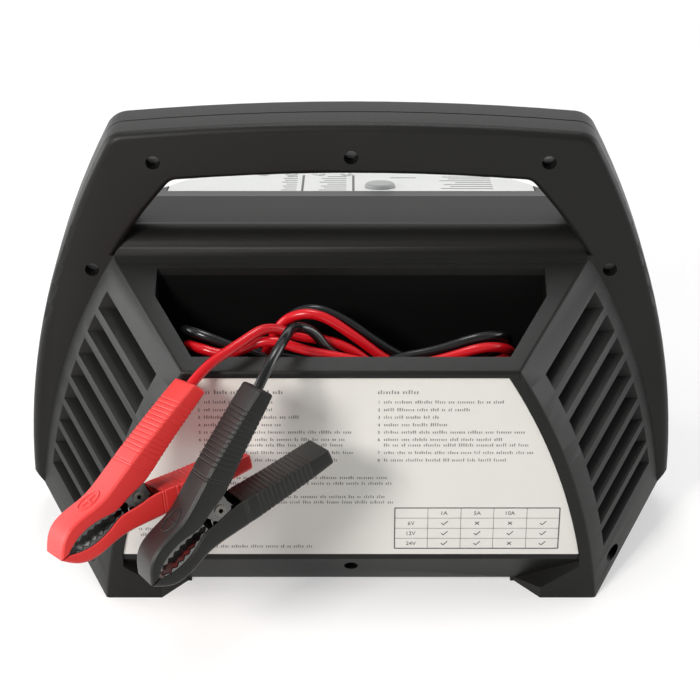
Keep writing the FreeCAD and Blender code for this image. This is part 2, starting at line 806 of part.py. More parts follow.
rear_shell = housing_half(rear_pod)
front_shell = housing_half(front_pod)
save("rear_shell", rear_shell)
save("front_shell", front_shell)

# Housing screws, all alike: head in its deep recess, shank through the seam
screws = []
for x, z in frame_screws + body_screws:
    head = bar(screw_sides, screw_head_radius, Vector(x, -screw_seat, z), Vector(0, -1, 0), screw_head_height)
    shank = bar(screw_sides, screw_radius, Vector(x, -screw_seat, z), Vector(0, 1, 0), screw_length)
    screws.append(head.fuse(shank))
save("housing_screws", Part.Compound(screws))

# Cable tray: the well under the mouth, with holes for the leads and the mains cord
slope = ridge_slope(rear_pod)
ceiling = rear_pod["ridge"] - wall / math.cos(math.atan(slope))
tray = mouth_prism(tray_wall, tray_floor, body_top)
tray = tray.cut(mouth_prism(0.0, tray_floor + tray_wall, body_top + 1))
above = prism_x([(5, ceiling + slope * 18), (-90, ceiling - slope * 77), (-90, 200), (5, 200)], -far, far)
zone = louvre_back_zone(rear_pod)
tray = tray.cut([above, zone, mirrored(zone)])
outside = -mouth_half_width - tray_wall


def grommet_block(x0, x1, grow):
    return box(x0, x1, grommet_y - grommet_half[0] - grow, grommet_y + grommet_half[0] + grow,
               grommet_z - grommet_half[1] - grow, grommet_z + grommet_half[1] + grow)


grommet_hole = grommet_block(outside - 3, -mouth_half_width + 3, 0.0)
gland_at = Vector(mouth_half_width, grommet_y, grommet_z + 2)


def gland_ring(radius, low, high):
    # Along X, from the tray's inner face
    return bar(gland_sides, radius, gland_at + Vector(low, 0, 0), Vector(1, 0, 0), high - low)


tray = tray.cut([grommet_hole, gland_ring(gland_radius, -2 * tray_wall, 2 * tray_wall)])
save("cable_tray", tray)

# Grommet of the two leads, and the gland of the mains cord
grommet = grommet_block(outside, -mouth_half_width, 0.0)
grommet = grommet.fuse(grommet_block(outside - 1.2, outside, grommet_flange))
grommet = grommet.fuse(grommet_block(-mouth_half_width, -mouth_half_width + 1.2, grommet_flange))
for side in (1, -1):
    start = Vector(outside - 3, grommet_y, grommet_z + side * lead_pitch / 2)
    grommet = grommet.cut(rod(lead_radius + running_gap, start, Vector(1, 0, 0), 10))
save("lead_grommet", grommet)
gland = gland_ring(gland_radius, 0, tray_wall)
gland = gland.fuse(gland_ring(gland_radius + gland_rim, -gland_inside, 0))
gland = gland.fuse(gland_ring(gland_radius + gland_rim, tray_wall, tray_wall + gland_rim))
gland = gland.cut(gland_ring(gland_bore, -2 * gland_inside, tray_wall + 2 * gland_rim))
save("mains_gland", gland)

# Label in its pocket
floor_y = rear_pod["face"] - label_recess
save("rear_label", label_prism(label_inset + fit_gap, floor_y, floor_y + label_thickness,
                               strip_top + fit_gap, label_top - fit_gap))

# Control panel: overlay, button, lamps' lenses, rocker
upward = Vector(0, 0, 1)
overlay = hexagon(-fit_gap).extrude(upward * panel_thickness)
overlay = overlay.translated(Vector(0, panel_shift, -panel_recess))
overlay = overlay.cut(upright(button_sides, button_radius + fit_gap, button_x, button_s, -wall, wall))
windows = [upright(lens_sides, lens_radius + fit_gap, x, lens_s, -wall, wall) for x in lens_places]
overlay = overlay.cut(windows)
save("panel_overlay", on_panel(overlay))

# The button's flange holds it under the wall, and its stem ends just over the switch
button_flange = 1.2
button_at = (button_x, button_s)
shoulder = button_rise - button_chamfer
button = upright(button_sides, button_radius, *button_at, -wall - button_flange, shoulder)
crown = cap(button_sides, button_radius, button_radius - button_chamfer, Vector(*button_at, shoulder),
            button_chamfer)
button = button.fuse(crown)
button = button.fuse(upright(button_sides, button_radius + button_flange, *button_at,
                             -wall - button_flange - running_gap, -wall - running_gap))
stem_end = -board_drop + switch_height + switch_plunger + button_idle
button = button.fuse(upright(post_sides, 2.0, *button_at, stem_end, -wall))
save("mode_button", on_panel(button))

lenses = []
for x in lens_places:
    lens = upright(lens_sides, lens_radius, x, lens_s, -wall, 0)
    lens = lens.fuse(upright(lens_sides, lens_radius + lens_flange, x, lens_s, -wall - lens_flange, -wall))
    dome = cap(lens_sides, lens_radius, lens_radius * 0.6, Vector(x, lens_s, 0), lens_radius * 0.4)
    lenses.append(lens.fuse(dome))
save("indicator_lenses", on_panel(Part.Compound(lenses)))

bezel = rocker_block(rocker_bezel, 0.0, 0.8)
housing = bezel.fuse(rocker_block(0.0, -rocker_depth, 0.4))
well_half = (rocker_width / 2 + 0.3, rocker_reach + 0.8)
well = box(-well_half[0], well_half[0], -well_half[1], well_half[1], -rocker_depth + 4, 4)
pivot = Vector(0, 0, rocker_axis)
pin_half = rocker_width / 2 + 1.0
hole_half = pin_half + 0.2
across = Vector(1, 0, 0)
pin_hole = bar(pin_sides, rocker_pin + 2 * running_gap, pivot - across * hole_half, across, 2 * hole_half)
tags = [box(-3, 3, o - 0.4, o + 0.4, -rocker_depth - 7, -rocker_depth) for o in (-6, 0, 6)]
save("rocker_body", on_front(housing.cut(well).cut(pin_hole).fuse(tags)))

profile = [(-rocker_reach, 0.6), (-rocker_reach, rocker_crest), (0, 3.4), (rocker_reach, rocker_crest),
           (rocker_reach, 0.6), (4.2, -3.0), (-4.2, -3.0)]
rocker = polygon_face([Vector(-rocker_width / 2, s, z) for s, z in profile]).extrude(across * rocker_width)
rocker = rocker.fuse(bar(pin_sides, rocker_pin, across * -pin_half, across, 2 * pin_half))
rocker.rotate(Vector(0, 0, 0), across, -rocker_tilt)
rocker.translate(pivot)
save("power_rocker", on_front(rocker))



def screw_way(x, y, low, high):
    # Clearance hole of a small screw
    return upright(screw_sides, small_screw_radius + small_screw_gap, x, y, low, high)


# Circuit board under the panel
board = box(*board_box, -board_drop - board_thickness, -board_drop)
board = board.cut([screw_way(x, s, -2 * board_drop, 0) for x, s in board_holes])
save("circuit_board", on_panel(board))


def small_screw(at, direction):
    # Pan head, then a shank of the given direction
    head = bar(screw_sides, small_head_radius, at, direction * -1, small_head_height)
    return head.fuse(bar(screw_sides, small_screw_radius, at, direction, small_screw_length))


under_board = -board_drop - board_thickness
board_screws = [small_screw(Vector(x, s, under_board), upward) for x, s in board_holes]
save("board_screws", on_panel(Part.Compound(board_screws)))
leds = []
for x in lens_places:
    led = upright(post_sides, led_radius, x, lens_s, -board_drop, -wall - led_drop)
    top = Vector(x, lens_s, -wall - led_drop)
    leds.append(led.fuse(cap(post_sides, led_radius, led_radius / 2, top, led_radius)))
save("indicator_leds", on_panel(Part.Compound(leds)))
switch = box(button_x - 3, button_x + 3, button_s - 3, button_s + 3,
             -board_drop, -board_drop + switch_height)
plunger_top = -board_drop + switch_height + switch_plunger
switch = switch.fuse(upright(post_sides, 1.7, *button_at, -board_drop, plunger_top))
save("tact_switch", on_panel(switch))

# Transformer: laminated core, bobbin, windings, strap and its screws
core_x = core_width / 2
leg = core_width / 6
core = box(-core_x, core_x, core_y - core_stack / 2, core_y + core_stack / 2, core_z, core_z + core_height)
for x in (leg, -2 * leg):
    core = core.cut(box(x, x + leg, 0, 100, core_z + leg, core_z + core_height - leg))
save("transformer_core", core)


def round_block(half_x, half_y, z0, z1, radius):
    block = box(-half_x, half_x, core_y - half_y, core_y + half_y, z0, z1)
    return block.makeFillet(radius, [e for e in block.Edges if e.BoundBox.ZLength > z1 - z0 - 0.01])


low_z = core_z + leg
high_z = core_z + core_height - leg
sleeve_x = leg + bobbin_wall
sleeve_y = core_stack / 2 + bobbin_wall
bobbin = box(-sleeve_x, sleeve_x, core_y - sleeve_y, core_y + sleeve_y, low_z, high_z)
for z in (low_z, high_z - bobbin_wall):
    bobbin = bobbin.fuse(round_block(2 * leg - fit_gap, core_stack / 2 + leg, z, z + bobbin_wall, 2))
bobbin = bobbin.cut(box(-leg, leg, core_y - core_stack / 2, core_y + core_stack / 2, low_z - 1, high_z + 1))
save("transformer_bobbin", bobbin)
winding = round_block(2 * leg - 1.5, core_stack / 2 + leg - 1.5, low_z + bobbin_wall, high_z - bobbin_wall, 7)
winding = winding.cut(box(-sleeve_x, sleeve_x, core_y - sleeve_y, core_y + sleeve_y, low_z, high_z))
save("transformer_windings", winding)
strap_x = core_x + strap_thickness
strap = box(-strap_x, strap_x, core_y - strap_width / 2, core_y + strap_width / 2,
            core_z, core_z + core_height + strap_thickness)
strap = strap.cut(box(-core_x, core_x, 0, 100, core_z - 1, core_z + core_height))
foot_x = core_feet[1][0] + 5
for x0, x1 in ((-foot_x, -core_x), (core_x, foot_x)):
    strap = strap.fuse(box(x0, x1, core_y - strap_width / 2, core_y + strap_width / 2, core_z,
                           core_z + strap_thickness))
strap = strap.cut([screw_way(x, y, 0, core_z + wall) for x, y in core_feet])
save("transformer_strap", strap)
strap_screws = [small_screw(Vector(x, y, core_z + strap_thickness), -upward) for x, y in core_feet]
save("transformer_screws", Part.Compound(strap_screws))

# Works under the tray: heat sink with the rectifier, power board with capacitor and fuse
sink = box(sink_box[0], sink_box[1], sink_box[2], sink_box[3], deck_z, deck_z + sink_base)
pitch = (sink_box[3] - sink_box[2] - sink_fin) / (sink_fins - 1)
for k in range(sink_fins):
    y = sink_box[2] + k * pitch
    fin_x = sink_box[0] + sink_fin_start
    sink = sink.fuse(box(fin_x, fin_x + sink_fin_run, y, y + sink_fin, deck_z, deck_z + sink_height))
sink = sink.cut([screw_way(x, y, 0, deck_z + wall) for x, y in sink_holes])
save("heat_sink", sink)
bridge_z = deck_z + sink_base
bridge_x = sink_box[0] + sink_fin_start + sink_fin_run + 2
bridge_y = (sink_box[2] + sink_box[3]) / 2
bridge_top = bridge_z + bridge_height
bridge = box(bridge_x, bridge_x + bridge_side, bridge_y - bridge_side / 2, bridge_y + bridge_side / 2,
             bridge_z, bridge_top)
for x in (0.2 * bridge_side, 0.8 * bridge_side):
    for y in (-0.3 * bridge_side, 0.3 * bridge_side):
        bridge = bridge.fuse(box(bridge_x + x, bridge_x + x + tag_thickness, bridge_y + y - tag_half,
                                 bridge_y + y + tag_half, bridge_top, bridge_top + tag_height))
bridge = bridge.cut(upright(post_sides, 2.2, bridge_x + bridge_side / 2, bridge_y, 0, 2 * bridge_top))
save("rectifier_bridge", bridge)
plate = box(power_box[0], power_box[1], power_box[2], power_box[3], deck_z, deck_z + board_thickness)
plate = plate.cut([screw_way(x, y, 0, 2 * deck_z) for x, y in power_board_holes])
save("power_board", plate)
deck_screws = [small_screw(Vector(x, y, deck_z + board_thickness), -upward) for x, y in power_board_holes]
deck_screws += [small_screw(Vector(x, y, deck_z + sink_base), -upward) for x, y in sink_holes]
save("deck_screws", Part.Compound(deck_screws))
top = deck_z + board_thickness
can = rod(capacitor_radius, Vector(power_box[0] + 18, bridge_y, top), Vector(0, 0, 1), capacitor_height)
can = can.makeChamfer(1.2, [e for e in can.Edges if e.CenterOfMass.z > top + 1 and len(e.Vertexes) == 1])
save("capacitor", can)
holder_x = power_box[1] - 14
holder = box(holder_x - 5, holder_x + 5, bridge_y - 14, bridge_y + 14, top, top + 2.5)
for y in (bridge_y - 11, bridge_y + 7):
    holder = holder.fuse(box(holder_x - 4, holder_x + 4, y, y + 4, top, top + 8))
axis = Vector(holder_x, bridge_y - 15, top + 6)
holder = holder.cut(rod(fuse_radius + running_gap, axis, Vector(0, 1, 0), 30))
save("fuse_holder", holder)
save("fuse", rod(fuse_radius, axis + Vector(0, 3, 0), Vector(0, 1, 0), 24))


# Clamps. In a clamp's own frame x runs to the nose, y to the upper lever and z along the rivet.

def clamp_frame(name):
    place, nose, lever = clamp_places[name]
    x = Vector(nose).normalize()
    z = x.cross(lever).normalize()
    y = z.cross(x)
    return FreeCAD.Placement(FreeCAD.Matrix(x.x, y.x, z.x, place.x, x.y, y.y, z.y, place.y,
                                            x.z, y.z, z.z, place.z, 0, 0, 0, 1))


def plate(points, z0, z1):
    # A flat piece from its outline in x and y
    return polygon_face([Vector(x, y, z0) for x, y in points]).extrude(Vector(0, 0, z1 - z0))


def both_cheeks(points, outer, sheet):
    return [plate(points, outer - sheet, outer), plate(points, -outer, sheet - outer)]


def shifted(points, dy):
    return [(x, y + dy) for x, y in points]


def grip_body(half, low_x, high_x):
    # Outer edge as one smooth curve, inner edge straight from point to point
    curve = Part.BSplineCurve()
    curve.interpolate([Vector(x, y, -half) for x, y in grip_outer])
    inner = [Vector(x, y, -half) for x, y in reversed(grip_inner)]
    ends = [Vector(grip_outer[-1][0], grip_outer[-1][1], -half)] + inner
    ends.append(Vector(grip_outer[0][0], grip_outer[0][1], -half))
    edges = [curve.toShape()] + [line(p, q) for p, q in zip(ends, ends[1:])]
    solid = Part.Face(Part.Wire(edges)).extrude(Vector(0, 0, 2 * half))
    long_edges = [e for e in solid.Edges if "BSpline" in e.Curve.TypeId and e.BoundBox.XLength > 50]
    solid = solid.makeChamfer(grip_round, long_edges)
    return solid.common(box(low_x, high_x, -60, 60, -60, 60))


def between(points, x):
    for (x0, y0), (x1, y1) in zip(points, points[1:]):
        if x0 <= x <= x1:
            return y0 + (y1 - y0) * (x - x0) / (x1 - x0)
    return points[-1][1]


def upper_grip():
    grip = grip_body(grip_half_width, -60, grip_crease).fuse(grip_body(grip_nose_half, grip_crease, 60))
    lean = Vector(0.255, 0.967, 0)
    half = grip_half_width + rib_height
    for k in range(rib_count):
        x = rib_first + k * rib_pitch
        foot = Vector(x, between(grip_inner, x) - rib_height, -half)
        tall = (between(grip_outer, x) - between(grip_inner, x)) * 0.967 + 2 * rib_height
        step = Vector(rib_width * 0.967, -rib_width * 0.255, 0)
        corners = [foot, foot + step, foot + step + lean * tall, foot + lean * tall]
        rib = polygon_face(corners).extrude(Vector(0, 0, 2 * half))
        grip = grip.fuse(rib)
    # Room for the metal: a slot in the lever and a pocket, open below, in the nose
    slot = [p for p in web_outer if p[0] < pocket_start] + [(pocket_start, between(web_outer, pocket_start))]
    under = [(x, y - jaw_sheet - grip_gap) for x, y in reversed(slot)]
    grip = grip.cut(plate([(slot[0][0] - grip_gap, slot[0][1] + grip_gap)] + shifted(slot[1:], grip_gap)
                          + under[:-1] + [(slot[0][0] - grip_gap, under[-1][1])],
                          -jaw_tail_half - grip_gap, jaw_tail_half + grip_gap))
    roof = [(pocket_start, between(web_outer, pocket_start))] + [p for p in web_outer if p[0] > pocket_start]
    roof = shifted(roof[:-1], grip_gap) + [(roof[-1][0] + grip_gap, grip_gap)]
    return grip.cut(plate(roof + [(roof[-1][0], -2), (pocket_start, -2)], -jaw_half_width - grip_gap,
                          jaw_half_width + grip_gap))


def upper_jaw(ear_outer):
    # Sheet metal: web inside the grip, toothed cheeks at the nose, ears round the rivet
    under = [(x - 0.2, y - jaw_sheet) for x, y in reversed(web_outer[:-1])]
    web = web_outer + [(web_outer[-1][0] - jaw_sheet, web_outer[-1][1])]
    outline = web + under[:-1] + [(web_outer[0][0], web_outer[0][1] - jaw_sheet)]
    tail = plate(outline, -jaw_tail_half, jaw_tail_half)
    nose = plate(outline, -jaw_half_width, jaw_half_width).common(box(pocket_start + 1, 60, -60, 60, -60, 60))
    teeth = []
    x = jaw_heel
    while x < jaw_teeth_end:
        teeth += [(x, tooth_line(x)), (x + tooth_pitch * 0.5, tooth_line(x) + tooth_height)]
        x += tooth_pitch
    cheek = [(jaw_heel, web_outer[5][1] - 0.5)] + teeth
    cheek += [(web_outer[-1][0] - 1.0, 0.15), (web_outer[-1][0], 0.3)]
    cheek += [p for p in reversed(web_outer[:-1]) if p[0] > jaw_heel]
    ear = [(pocket_start + 0.5, 8.0), (7.5, 6.4), (ear_radius, -0.5), (-ear_radius, -0.5)]
    pieces = both_cheeks(cheek, jaw_half_width, jaw_sheet) + both_cheeks(ear, ear_outer, jaw_sheet)
    for z in (ear_outer - jaw_sheet, -ear_outer):
        pieces.append(bar(pin_sides, ear_radius, Vector(0, 0, z), Vector(0, 0, 1), jaw_sheet))
    hole = rod(rivet_radius + running_gap, Vector(0, 0, -20), Vector(0, 0, 1), 40)
    return tail.fuse([nose] + pieces).cut(hole)


def tooth_line(x):
    return 0.35 + tooth_arch * max(0.0, math.sin(math.pi * (x - jaw_heel) / (web_outer[-1][0] - jaw_heel)))


def flipped(shape):
    return shape.mirror(Vector(0, 0, 0), Vector(0, 1, 0))


def clamp_rivet():
    end = jaw_half_width
    body = rod(rivet_radius, Vector(0, 0, -end), Vector(0, 0, 1), 2 * end)
    for z in (end, -end - rivet_head_height):
        body = body.fuse(bar(pin_sides, rivet_head, Vector(0, 0, z), Vector(0, 0, 1), rivet_head_height))
    return body.cut(bar(post_sides, rivet_bore, Vector(0, 0, -2 * end), Vector(0, 0, 1), 4 * end))


def clamp_spring():
    # Turns round the rivet, the upper leg along the lever, the lower leg short
    high = spring_turns * spring_pitch
    helix = Part.makeHelix(spring_pitch, high, spring_radius)
    helix.translate(Vector(0, 0, -high / 2))
    helix.rotate(Vector(0, 0, 0), Vector(0, 0, 1), 90)
    start = helix.OrderedVertexes[0].Point
    end = helix.OrderedVertexes[-1].Point
    first = helix.OrderedEdges[0]
    last = helix.OrderedEdges[-1]
    out = first.tangentAt(first.FirstParameter) * -1
    away = last.tangentAt(last.LastParameter)
    path = Part.Wire([line(start + out * 1.5, start)] + helix.Edges + [line(end, end + away * spring_leg)])
    section = ring_of(spring_sides, spring_wire, start + out * 1.5, out)
    return path.makePipeShell([section], True, True)


grip = upper_grip()
jaw_upper = upper_jaw(jaw_half_width)
jaw_lower = flipped(upper_jaw(jaw_half_width - jaw_sheet - ear_gap))
rivet = clamp_rivet()
spring = clamp_spring()
for name in clamp_places:
    frame = clamp_frame(name)
    for piece, shape in (("upper_grip", grip), ("lower_grip", flipped(grip)), ("upper_jaw", jaw_upper),
                         ("lower_jaw", jaw_lower), ("rivet", rivet), ("spring", spring)):
        placed = shape.copy()
        placed.Placement = frame.multiply(placed.Placement)
        save(name + "_" + piece, placed)


# Leads. Each is a run of straight lengths joined by arcs that touch both.
# From the grommet: one turn round the tray, one that stands up at the lip, then an arch over it,
# a small turn inside them and out over the lip to the clamp.

def coil_points(rise):
    width, depth = coil_half
    turn = [(-44, 0.94), (0, 1), (44, 0.94), (width, 0.5), (width, -0.5), (44, -0.94), (0, -1), (-44, -0.94),
            (-width, -0.5), (-width, 0.5)]
    count = len(turn) * coil_turns
    points = [(outside + x, grommet_y, coil_start + rise) for x in (0.0, grommet_run)]
    for k in range(count):
        x, part = turn[k % len(turn)]
        points.append((x, coil_middle + depth * part, coil_start + rise + coil_rise * k / len(turn)))
    return points


red_rise = [(-44, -21.2, 80.2), (0, -20.15, 81), (44, -21.2, 84), (62.5, -29, 92), (64, -44, 105.5),
            (52, -52.3, 112), (36, -54.8, 107.4), (18, -55.2, 103.3), (0, -55.1, 107.6), (-17, -55, 111),
            (-33, -54.2, 117), (-47, -53.2, 107.4), (-60, -50.5, 110.3), (-66, -40, 106), (-61, -29.5, 96),
            (-38, -26.5, 86), (-8, -26.5, 83), (18, -26.5, 82.5), (40, -26, 82.5), (45.7, -35.5, 87),
            (40, -45, 91.5), (27, -45, 94.5), (13.5, -44.3, 101)]
black_rise = [(-44, -21.2, 84.7), (0, -20.15, 85.5), (44, -21.2, 88.5), (62, -28, 98), (62.5, -40.5, 110),
              (50, -48.3, 114), (33, -50.3, 108.4), (17, -50.8, 105.6), (5, -50.9, 98), (-9, -50, 95.5),
              (-23, -49.3, 99), (-35, -48.5, 105), (-47, -48.2, 109.5), (-60, -46.5, 114.5), (-66.5, -39, 112),
              (-64, -30, 105.5), (-50, -26.5, 97.5), (-24, -25.8, 91), (-2, -25.5, 87.6), (18, -25.5, 86.9),
              (34, -25.5, 87.1), (39.5, -32.7, 93.1), (34, -40, 98.8), (22, -39.8, 98.3)]
red_out = [(2, -43.5, 110.8), (-13, -43, 122), (-26, -41, 118.5), (-32, -39.8, 106), (-37, -39.5, 93),
           (-33, -39.2, 79.5), (-18, -39, 71), (0, -39.3, 69.5), (13.5, -41, 75.5), (16.5, -44.5, 88),
           (9, -46.3, 99.5), (-1, -46.2, 107.8), (-11, -45.9, 111.3), (-21, -46.3, 112.6), (-32, -52, 121),
           (-42, -60.5, 118.2)]
black_out = [(10, -39.5, 106.5), (-3, -38.5, 116.5), (-16, -37.5, 121.5), (-27, -36, 114.5), (-33, -35, 100.5),
             (-30, -34.7, 86), (-17, -34.7, 76.5), (-1, -35, 75.5), (11, -37.3, 81.5), (10.3, -40.8, 93),
             (0, -45, 100), (-8.8, -50.5, 108.3), (-14.5, -51.3, 118.5), (-22.3, -57, 123.5),
             (-25.2, -73, 126.5)]
lead_sleeve = {"red": 11.0, "black": 9.0}     # straight length out of the clamp


def lead_wire(points):
    edges = []
    radii = []
    here = points[0]
    for before, corner, after in zip(points, points[1:], points[2:]):
        way_in = (corner - before).normalize()
        way_out = (after - corner).normalize()
        half_turn = way_in.getAngle(way_out) / 2
        reach = 0.45 * min((corner - before).Length, (after - corner).Length)
        radius = reach / math.tan(half_turn)
        start = corner - way_in * reach
        end = corner + way_out * reach
        inward = (way_out - way_in).normalize()
        middle = corner + inward * (radius / math.cos(half_turn) - radius)
        edges.append(line(here, start))
        edges.append(arc(start, middle, end))
        radii.append(radius)
        here = end
    edges.append(line(here, points[-1]))
    return Part.Wire(edges), min(radii)


def lead(name, points):
    wire, radius = lead_wire(points)
    section = ring_of(lead_sides, lead_radius, points[0], points[1] - points[0])
    tube = wire.makePipeShell([section], True, False)
    print(name, "length", round(wire.Length), "least radius", round(radius, 1), "volume ratio",
          round(tube.Volume / (Part.Face(section).Area * wire.Length), 4))
    save(name, tube)
    return wire.Length


lead_rows = (("red", 0.0, red_rise, red_out), ("black", lead_pitch, black_rise, black_out))
for colour, rise, risen, out in lead_rows:
    frame = clamp_frame(colour)
    end = frame.multVec(lead_end)
    leave = frame.Rotation.multVec(lead_leave).normalize()
    loops = [Vector(*p) for p in coil_points(rise) + risen]
    away = [Vector(*p) for p in out] + [end + leave * lead_sleeve[colour], end]
    joint = (loops[-1] + away[0]) * 0.5
    total = lead(colour + "_lead_loops", loops + [joint]) + lead(colour + "_lead", [joint] + away)
    print(colour, "lead in all", round(total))
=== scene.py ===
import bmesh
import bpy
import json
import math
import numpy as np
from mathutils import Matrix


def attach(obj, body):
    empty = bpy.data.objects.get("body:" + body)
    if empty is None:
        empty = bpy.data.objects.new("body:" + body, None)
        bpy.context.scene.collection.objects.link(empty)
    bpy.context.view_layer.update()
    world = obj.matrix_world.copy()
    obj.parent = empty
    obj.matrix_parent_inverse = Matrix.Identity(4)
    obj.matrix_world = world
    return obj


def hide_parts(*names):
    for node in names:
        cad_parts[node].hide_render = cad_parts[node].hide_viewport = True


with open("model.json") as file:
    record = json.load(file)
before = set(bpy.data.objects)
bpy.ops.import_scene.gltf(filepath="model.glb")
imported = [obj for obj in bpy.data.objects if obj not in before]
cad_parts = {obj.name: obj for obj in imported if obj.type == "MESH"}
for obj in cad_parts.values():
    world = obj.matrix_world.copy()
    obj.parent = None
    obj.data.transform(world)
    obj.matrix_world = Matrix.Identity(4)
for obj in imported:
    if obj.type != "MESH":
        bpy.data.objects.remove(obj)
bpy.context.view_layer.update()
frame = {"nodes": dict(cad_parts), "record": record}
nodes = frame["nodes"]
mm = 0.001
seamToOrigin = -8.9606    # mm along Y: the sizes below are taken from the joint of the two shells
nodeBody = {n: body for body, group in frame["record"]["behaviour"]["bodies"].items() for n in group}
nodeSlot = {part["node"]: part["material_slot"] for part in frame["record"]["subparts"]}
print("frame loaded:", len(nodes), "nodes")

# Camera
cameraView = {"place": (0.0, -0.74266, 0.5035), "downTilt": 30.0, "lens": 104.2, "shiftX": -1 / 700,
              "clipStart": 0.05}
camera = bpy.data.objects.new("photoCamera", bpy.data.cameras.new("photoCamera"))
bpy.context.scene.collection.objects.link(camera)
camera.location = cameraView["place"]
camera.rotation_euler = (math.radians(90.0 - cameraView["downTilt"]), 0.0, 0.0)
camera.data.lens = cameraView["lens"]
camera.data.shift_x = cameraView["shiftX"]
camera.data.clip_start = cameraView["clipStart"]
bpy.context.scene.camera = camera


def inMetres(points):
    # (n, 3) array in mm from the joint plane to metres in the object's frame
    return (np.asarray(points, float) + np.array([0.0, seamToOrigin, 0.0])) * mm


def addMesh(name, vertices, faces):
    # Points in metres and faces as rows of point numbers become one mesh at the origin
    mesh = bpy.data.meshes.new(name)
    mesh.from_pydata([tuple(v) for v in vertices], [], [tuple(int(i) for i in f) for f in faces])
    mesh.validate()
    piece = bpy.data.objects.new(name, mesh)
    bpy.context.scene.collection.objects.link(piece)
    return piece


def dress(piece, material, body):
    # One material for the whole piece, and the body that it moves with
    piece.data.materials.clear()
    piece.data.materials.append(material)
    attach(piece, body)


# Materials. Each group puts out masks and heights; the shader stays in its material.

def startGroup(name, inputs, outputs):
    # An empty group with inputs (name, kind, value) and outputs (name, kind)
    group = bpy.data.node_groups.new(name, "ShaderNodeTree")
    for label, kind, value in inputs:
        group.interface.new_socket(name=label, in_out="INPUT", socket_type=kind).default_value = value
    for label, kind in outputs:
        group.interface.new_socket(name=label, in_out="OUTPUT", socket_type=kind)
    return group, group.nodes.new("NodeGroupInput"), group.nodes.new("NodeGroupOutput")


def mathNode(tree, operation, first, second):
    # One operation on two values, each a number or another node's output
    node = tree.nodes.new("ShaderNodeMath")
    node.operation = operation
    for socket, value in zip(node.inputs, (first, second)):
        if isinstance(value, (int, float)):
            socket.default_value = value
        else:
            tree.links.new(value, socket)
    return node.outputs[0]


def noiseNode(tree, vector, scale, detail, rough):
    # Noise at a place, with so many waves in a metre
    node = tree.nodes.new("ShaderNodeTexNoise")
    node.inputs["Detail"].default_value = detail
    node.inputs["Roughness"].default_value = rough
    tree.links.new(vector, node.inputs["Vector"])
    tree.links.new(scale, node.inputs["Scale"])
    return node.outputs["Fac"]


# Noise as (detail, roughness), scales per metre, depths of the bumps in metres
grainSpec = {"scale": 2200.0, "patch": 18.0, "fine": (2.0, 0.6), "broad": (4.0, 0.6), "bumpDepth": 0.0002}
streakSpec = {"scale": 900.0, "stretch": (0.05, 1, 1), "noise": (2.0, 0.5), "bumpDepth": 0.0001}
noiseSpan = (0.3, 0.7)     # where the noise has its values, stretched to 0 and 1


def mouldGrainGroup():
    # Spark-eroded grain of a moulded surface: fine noise for height, broad noise for tone
    sockets = [("Scale", "NodeSocketFloat", grainSpec["scale"]),
               ("Patch", "NodeSocketFloat", grainSpec["patch"])]
    group, ins, outs = startGroup("mouldGrain", sockets,
                                  [("Height", "NodeSocketFloat"), ("Patches", "NodeSocketFloat")])
    place = group.nodes.new("ShaderNodeTexCoord").outputs["Object"]
    fine = noiseNode(group, place, ins.outputs["Scale"], *grainSpec["fine"])
    broad = noiseNode(group, place, ins.outputs["Patch"], *grainSpec["broad"])
    group.links.new(fine, outs.inputs["Height"])
    group.links.new(broad, outs.inputs["Patches"])
    return group


def brushedGroup():
    # Drawn or ground metal: noise stretched along one axis
    sockets = [("Scale", "NodeSocketFloat", streakSpec["scale"]),
               ("Stretch", "NodeSocketVector", streakSpec["stretch"])]
    group, ins, outs = startGroup("brushedMetal", sockets,
                                  [("Height", "NodeSocketFloat"), ("Streaks", "NodeSocketFloat")])
    place = group.nodes.new("ShaderNodeTexCoord").outputs["Object"]
    turn = group.nodes.new("ShaderNodeMapping")
    group.links.new(place, turn.inputs["Vector"])
    group.links.new(ins.outputs["Stretch"], turn.inputs["Scale"])
    streaks = noiseNode(group, turn.outputs["Vector"], ins.outputs["Scale"], *streakSpec["noise"])
    group.links.new(streaks, outs.inputs["Height"])
    group.links.new(streaks, outs.inputs["Streaks"])
    return group


grainGroup = mouldGrainGroup()
metalGroup = brushedGroup()


def principled(name, **values):
    # A new material with its shader's inputs set by name, each space of the name written as an underscore
    material = bpy.data.materials.new(name)
    material.use_nodes = True
    tree = material.node_tree
    shader = tree.nodes["Principled BSDF"]
    for label, value in values.items():
        shader.inputs[label.replace("_", " ")].default_value = value
    return material, tree, shader


def mixColours(tree, factor, first, second):
    # The first colour where the factor is 0, the second where it is 1
    mix = tree.nodes.new("ShaderNodeMix")
    mix.data_type = "RGBA"
    tree.links.new(factor, mix.inputs["Factor"])
    mix.inputs["A"].default_value = (*first, 1.0)
    mix.inputs["B"].default_value = (*second, 1.0)
    return mix.outputs["Result"]


def rangeNode(tree, value, low, high, toLow, toHigh):
    # A straight line through (low, toLow) and (high, toHigh), level beyond them
    node = tree.nodes.new("ShaderNodeMapRange")
    tree.links.new(value, node.inputs["Value"])
    for label, number in (("From Min", low), ("From Max", high), ("To Min", toLow), ("To Max", toHigh)):
        node.inputs[label].default_value = number
    return node.outputs["Result"]


def bumped(tree, shader, height, strength, distance):
    # Turns a height into a tilt of the surface
    bump = tree.nodes.new("ShaderNodeBump")
    bump.inputs["Strength"].default_value = strength
    bump.inputs["Distance"].default_value = distance
    tree.links.new(height, bump.inputs["Height"])
    tree.links.new(bump.outputs["Normal"], shader.inputs["Normal"])


glassSpec = {"index": 1.49, "grainScale": 400.0, "unevenness": 0.05}


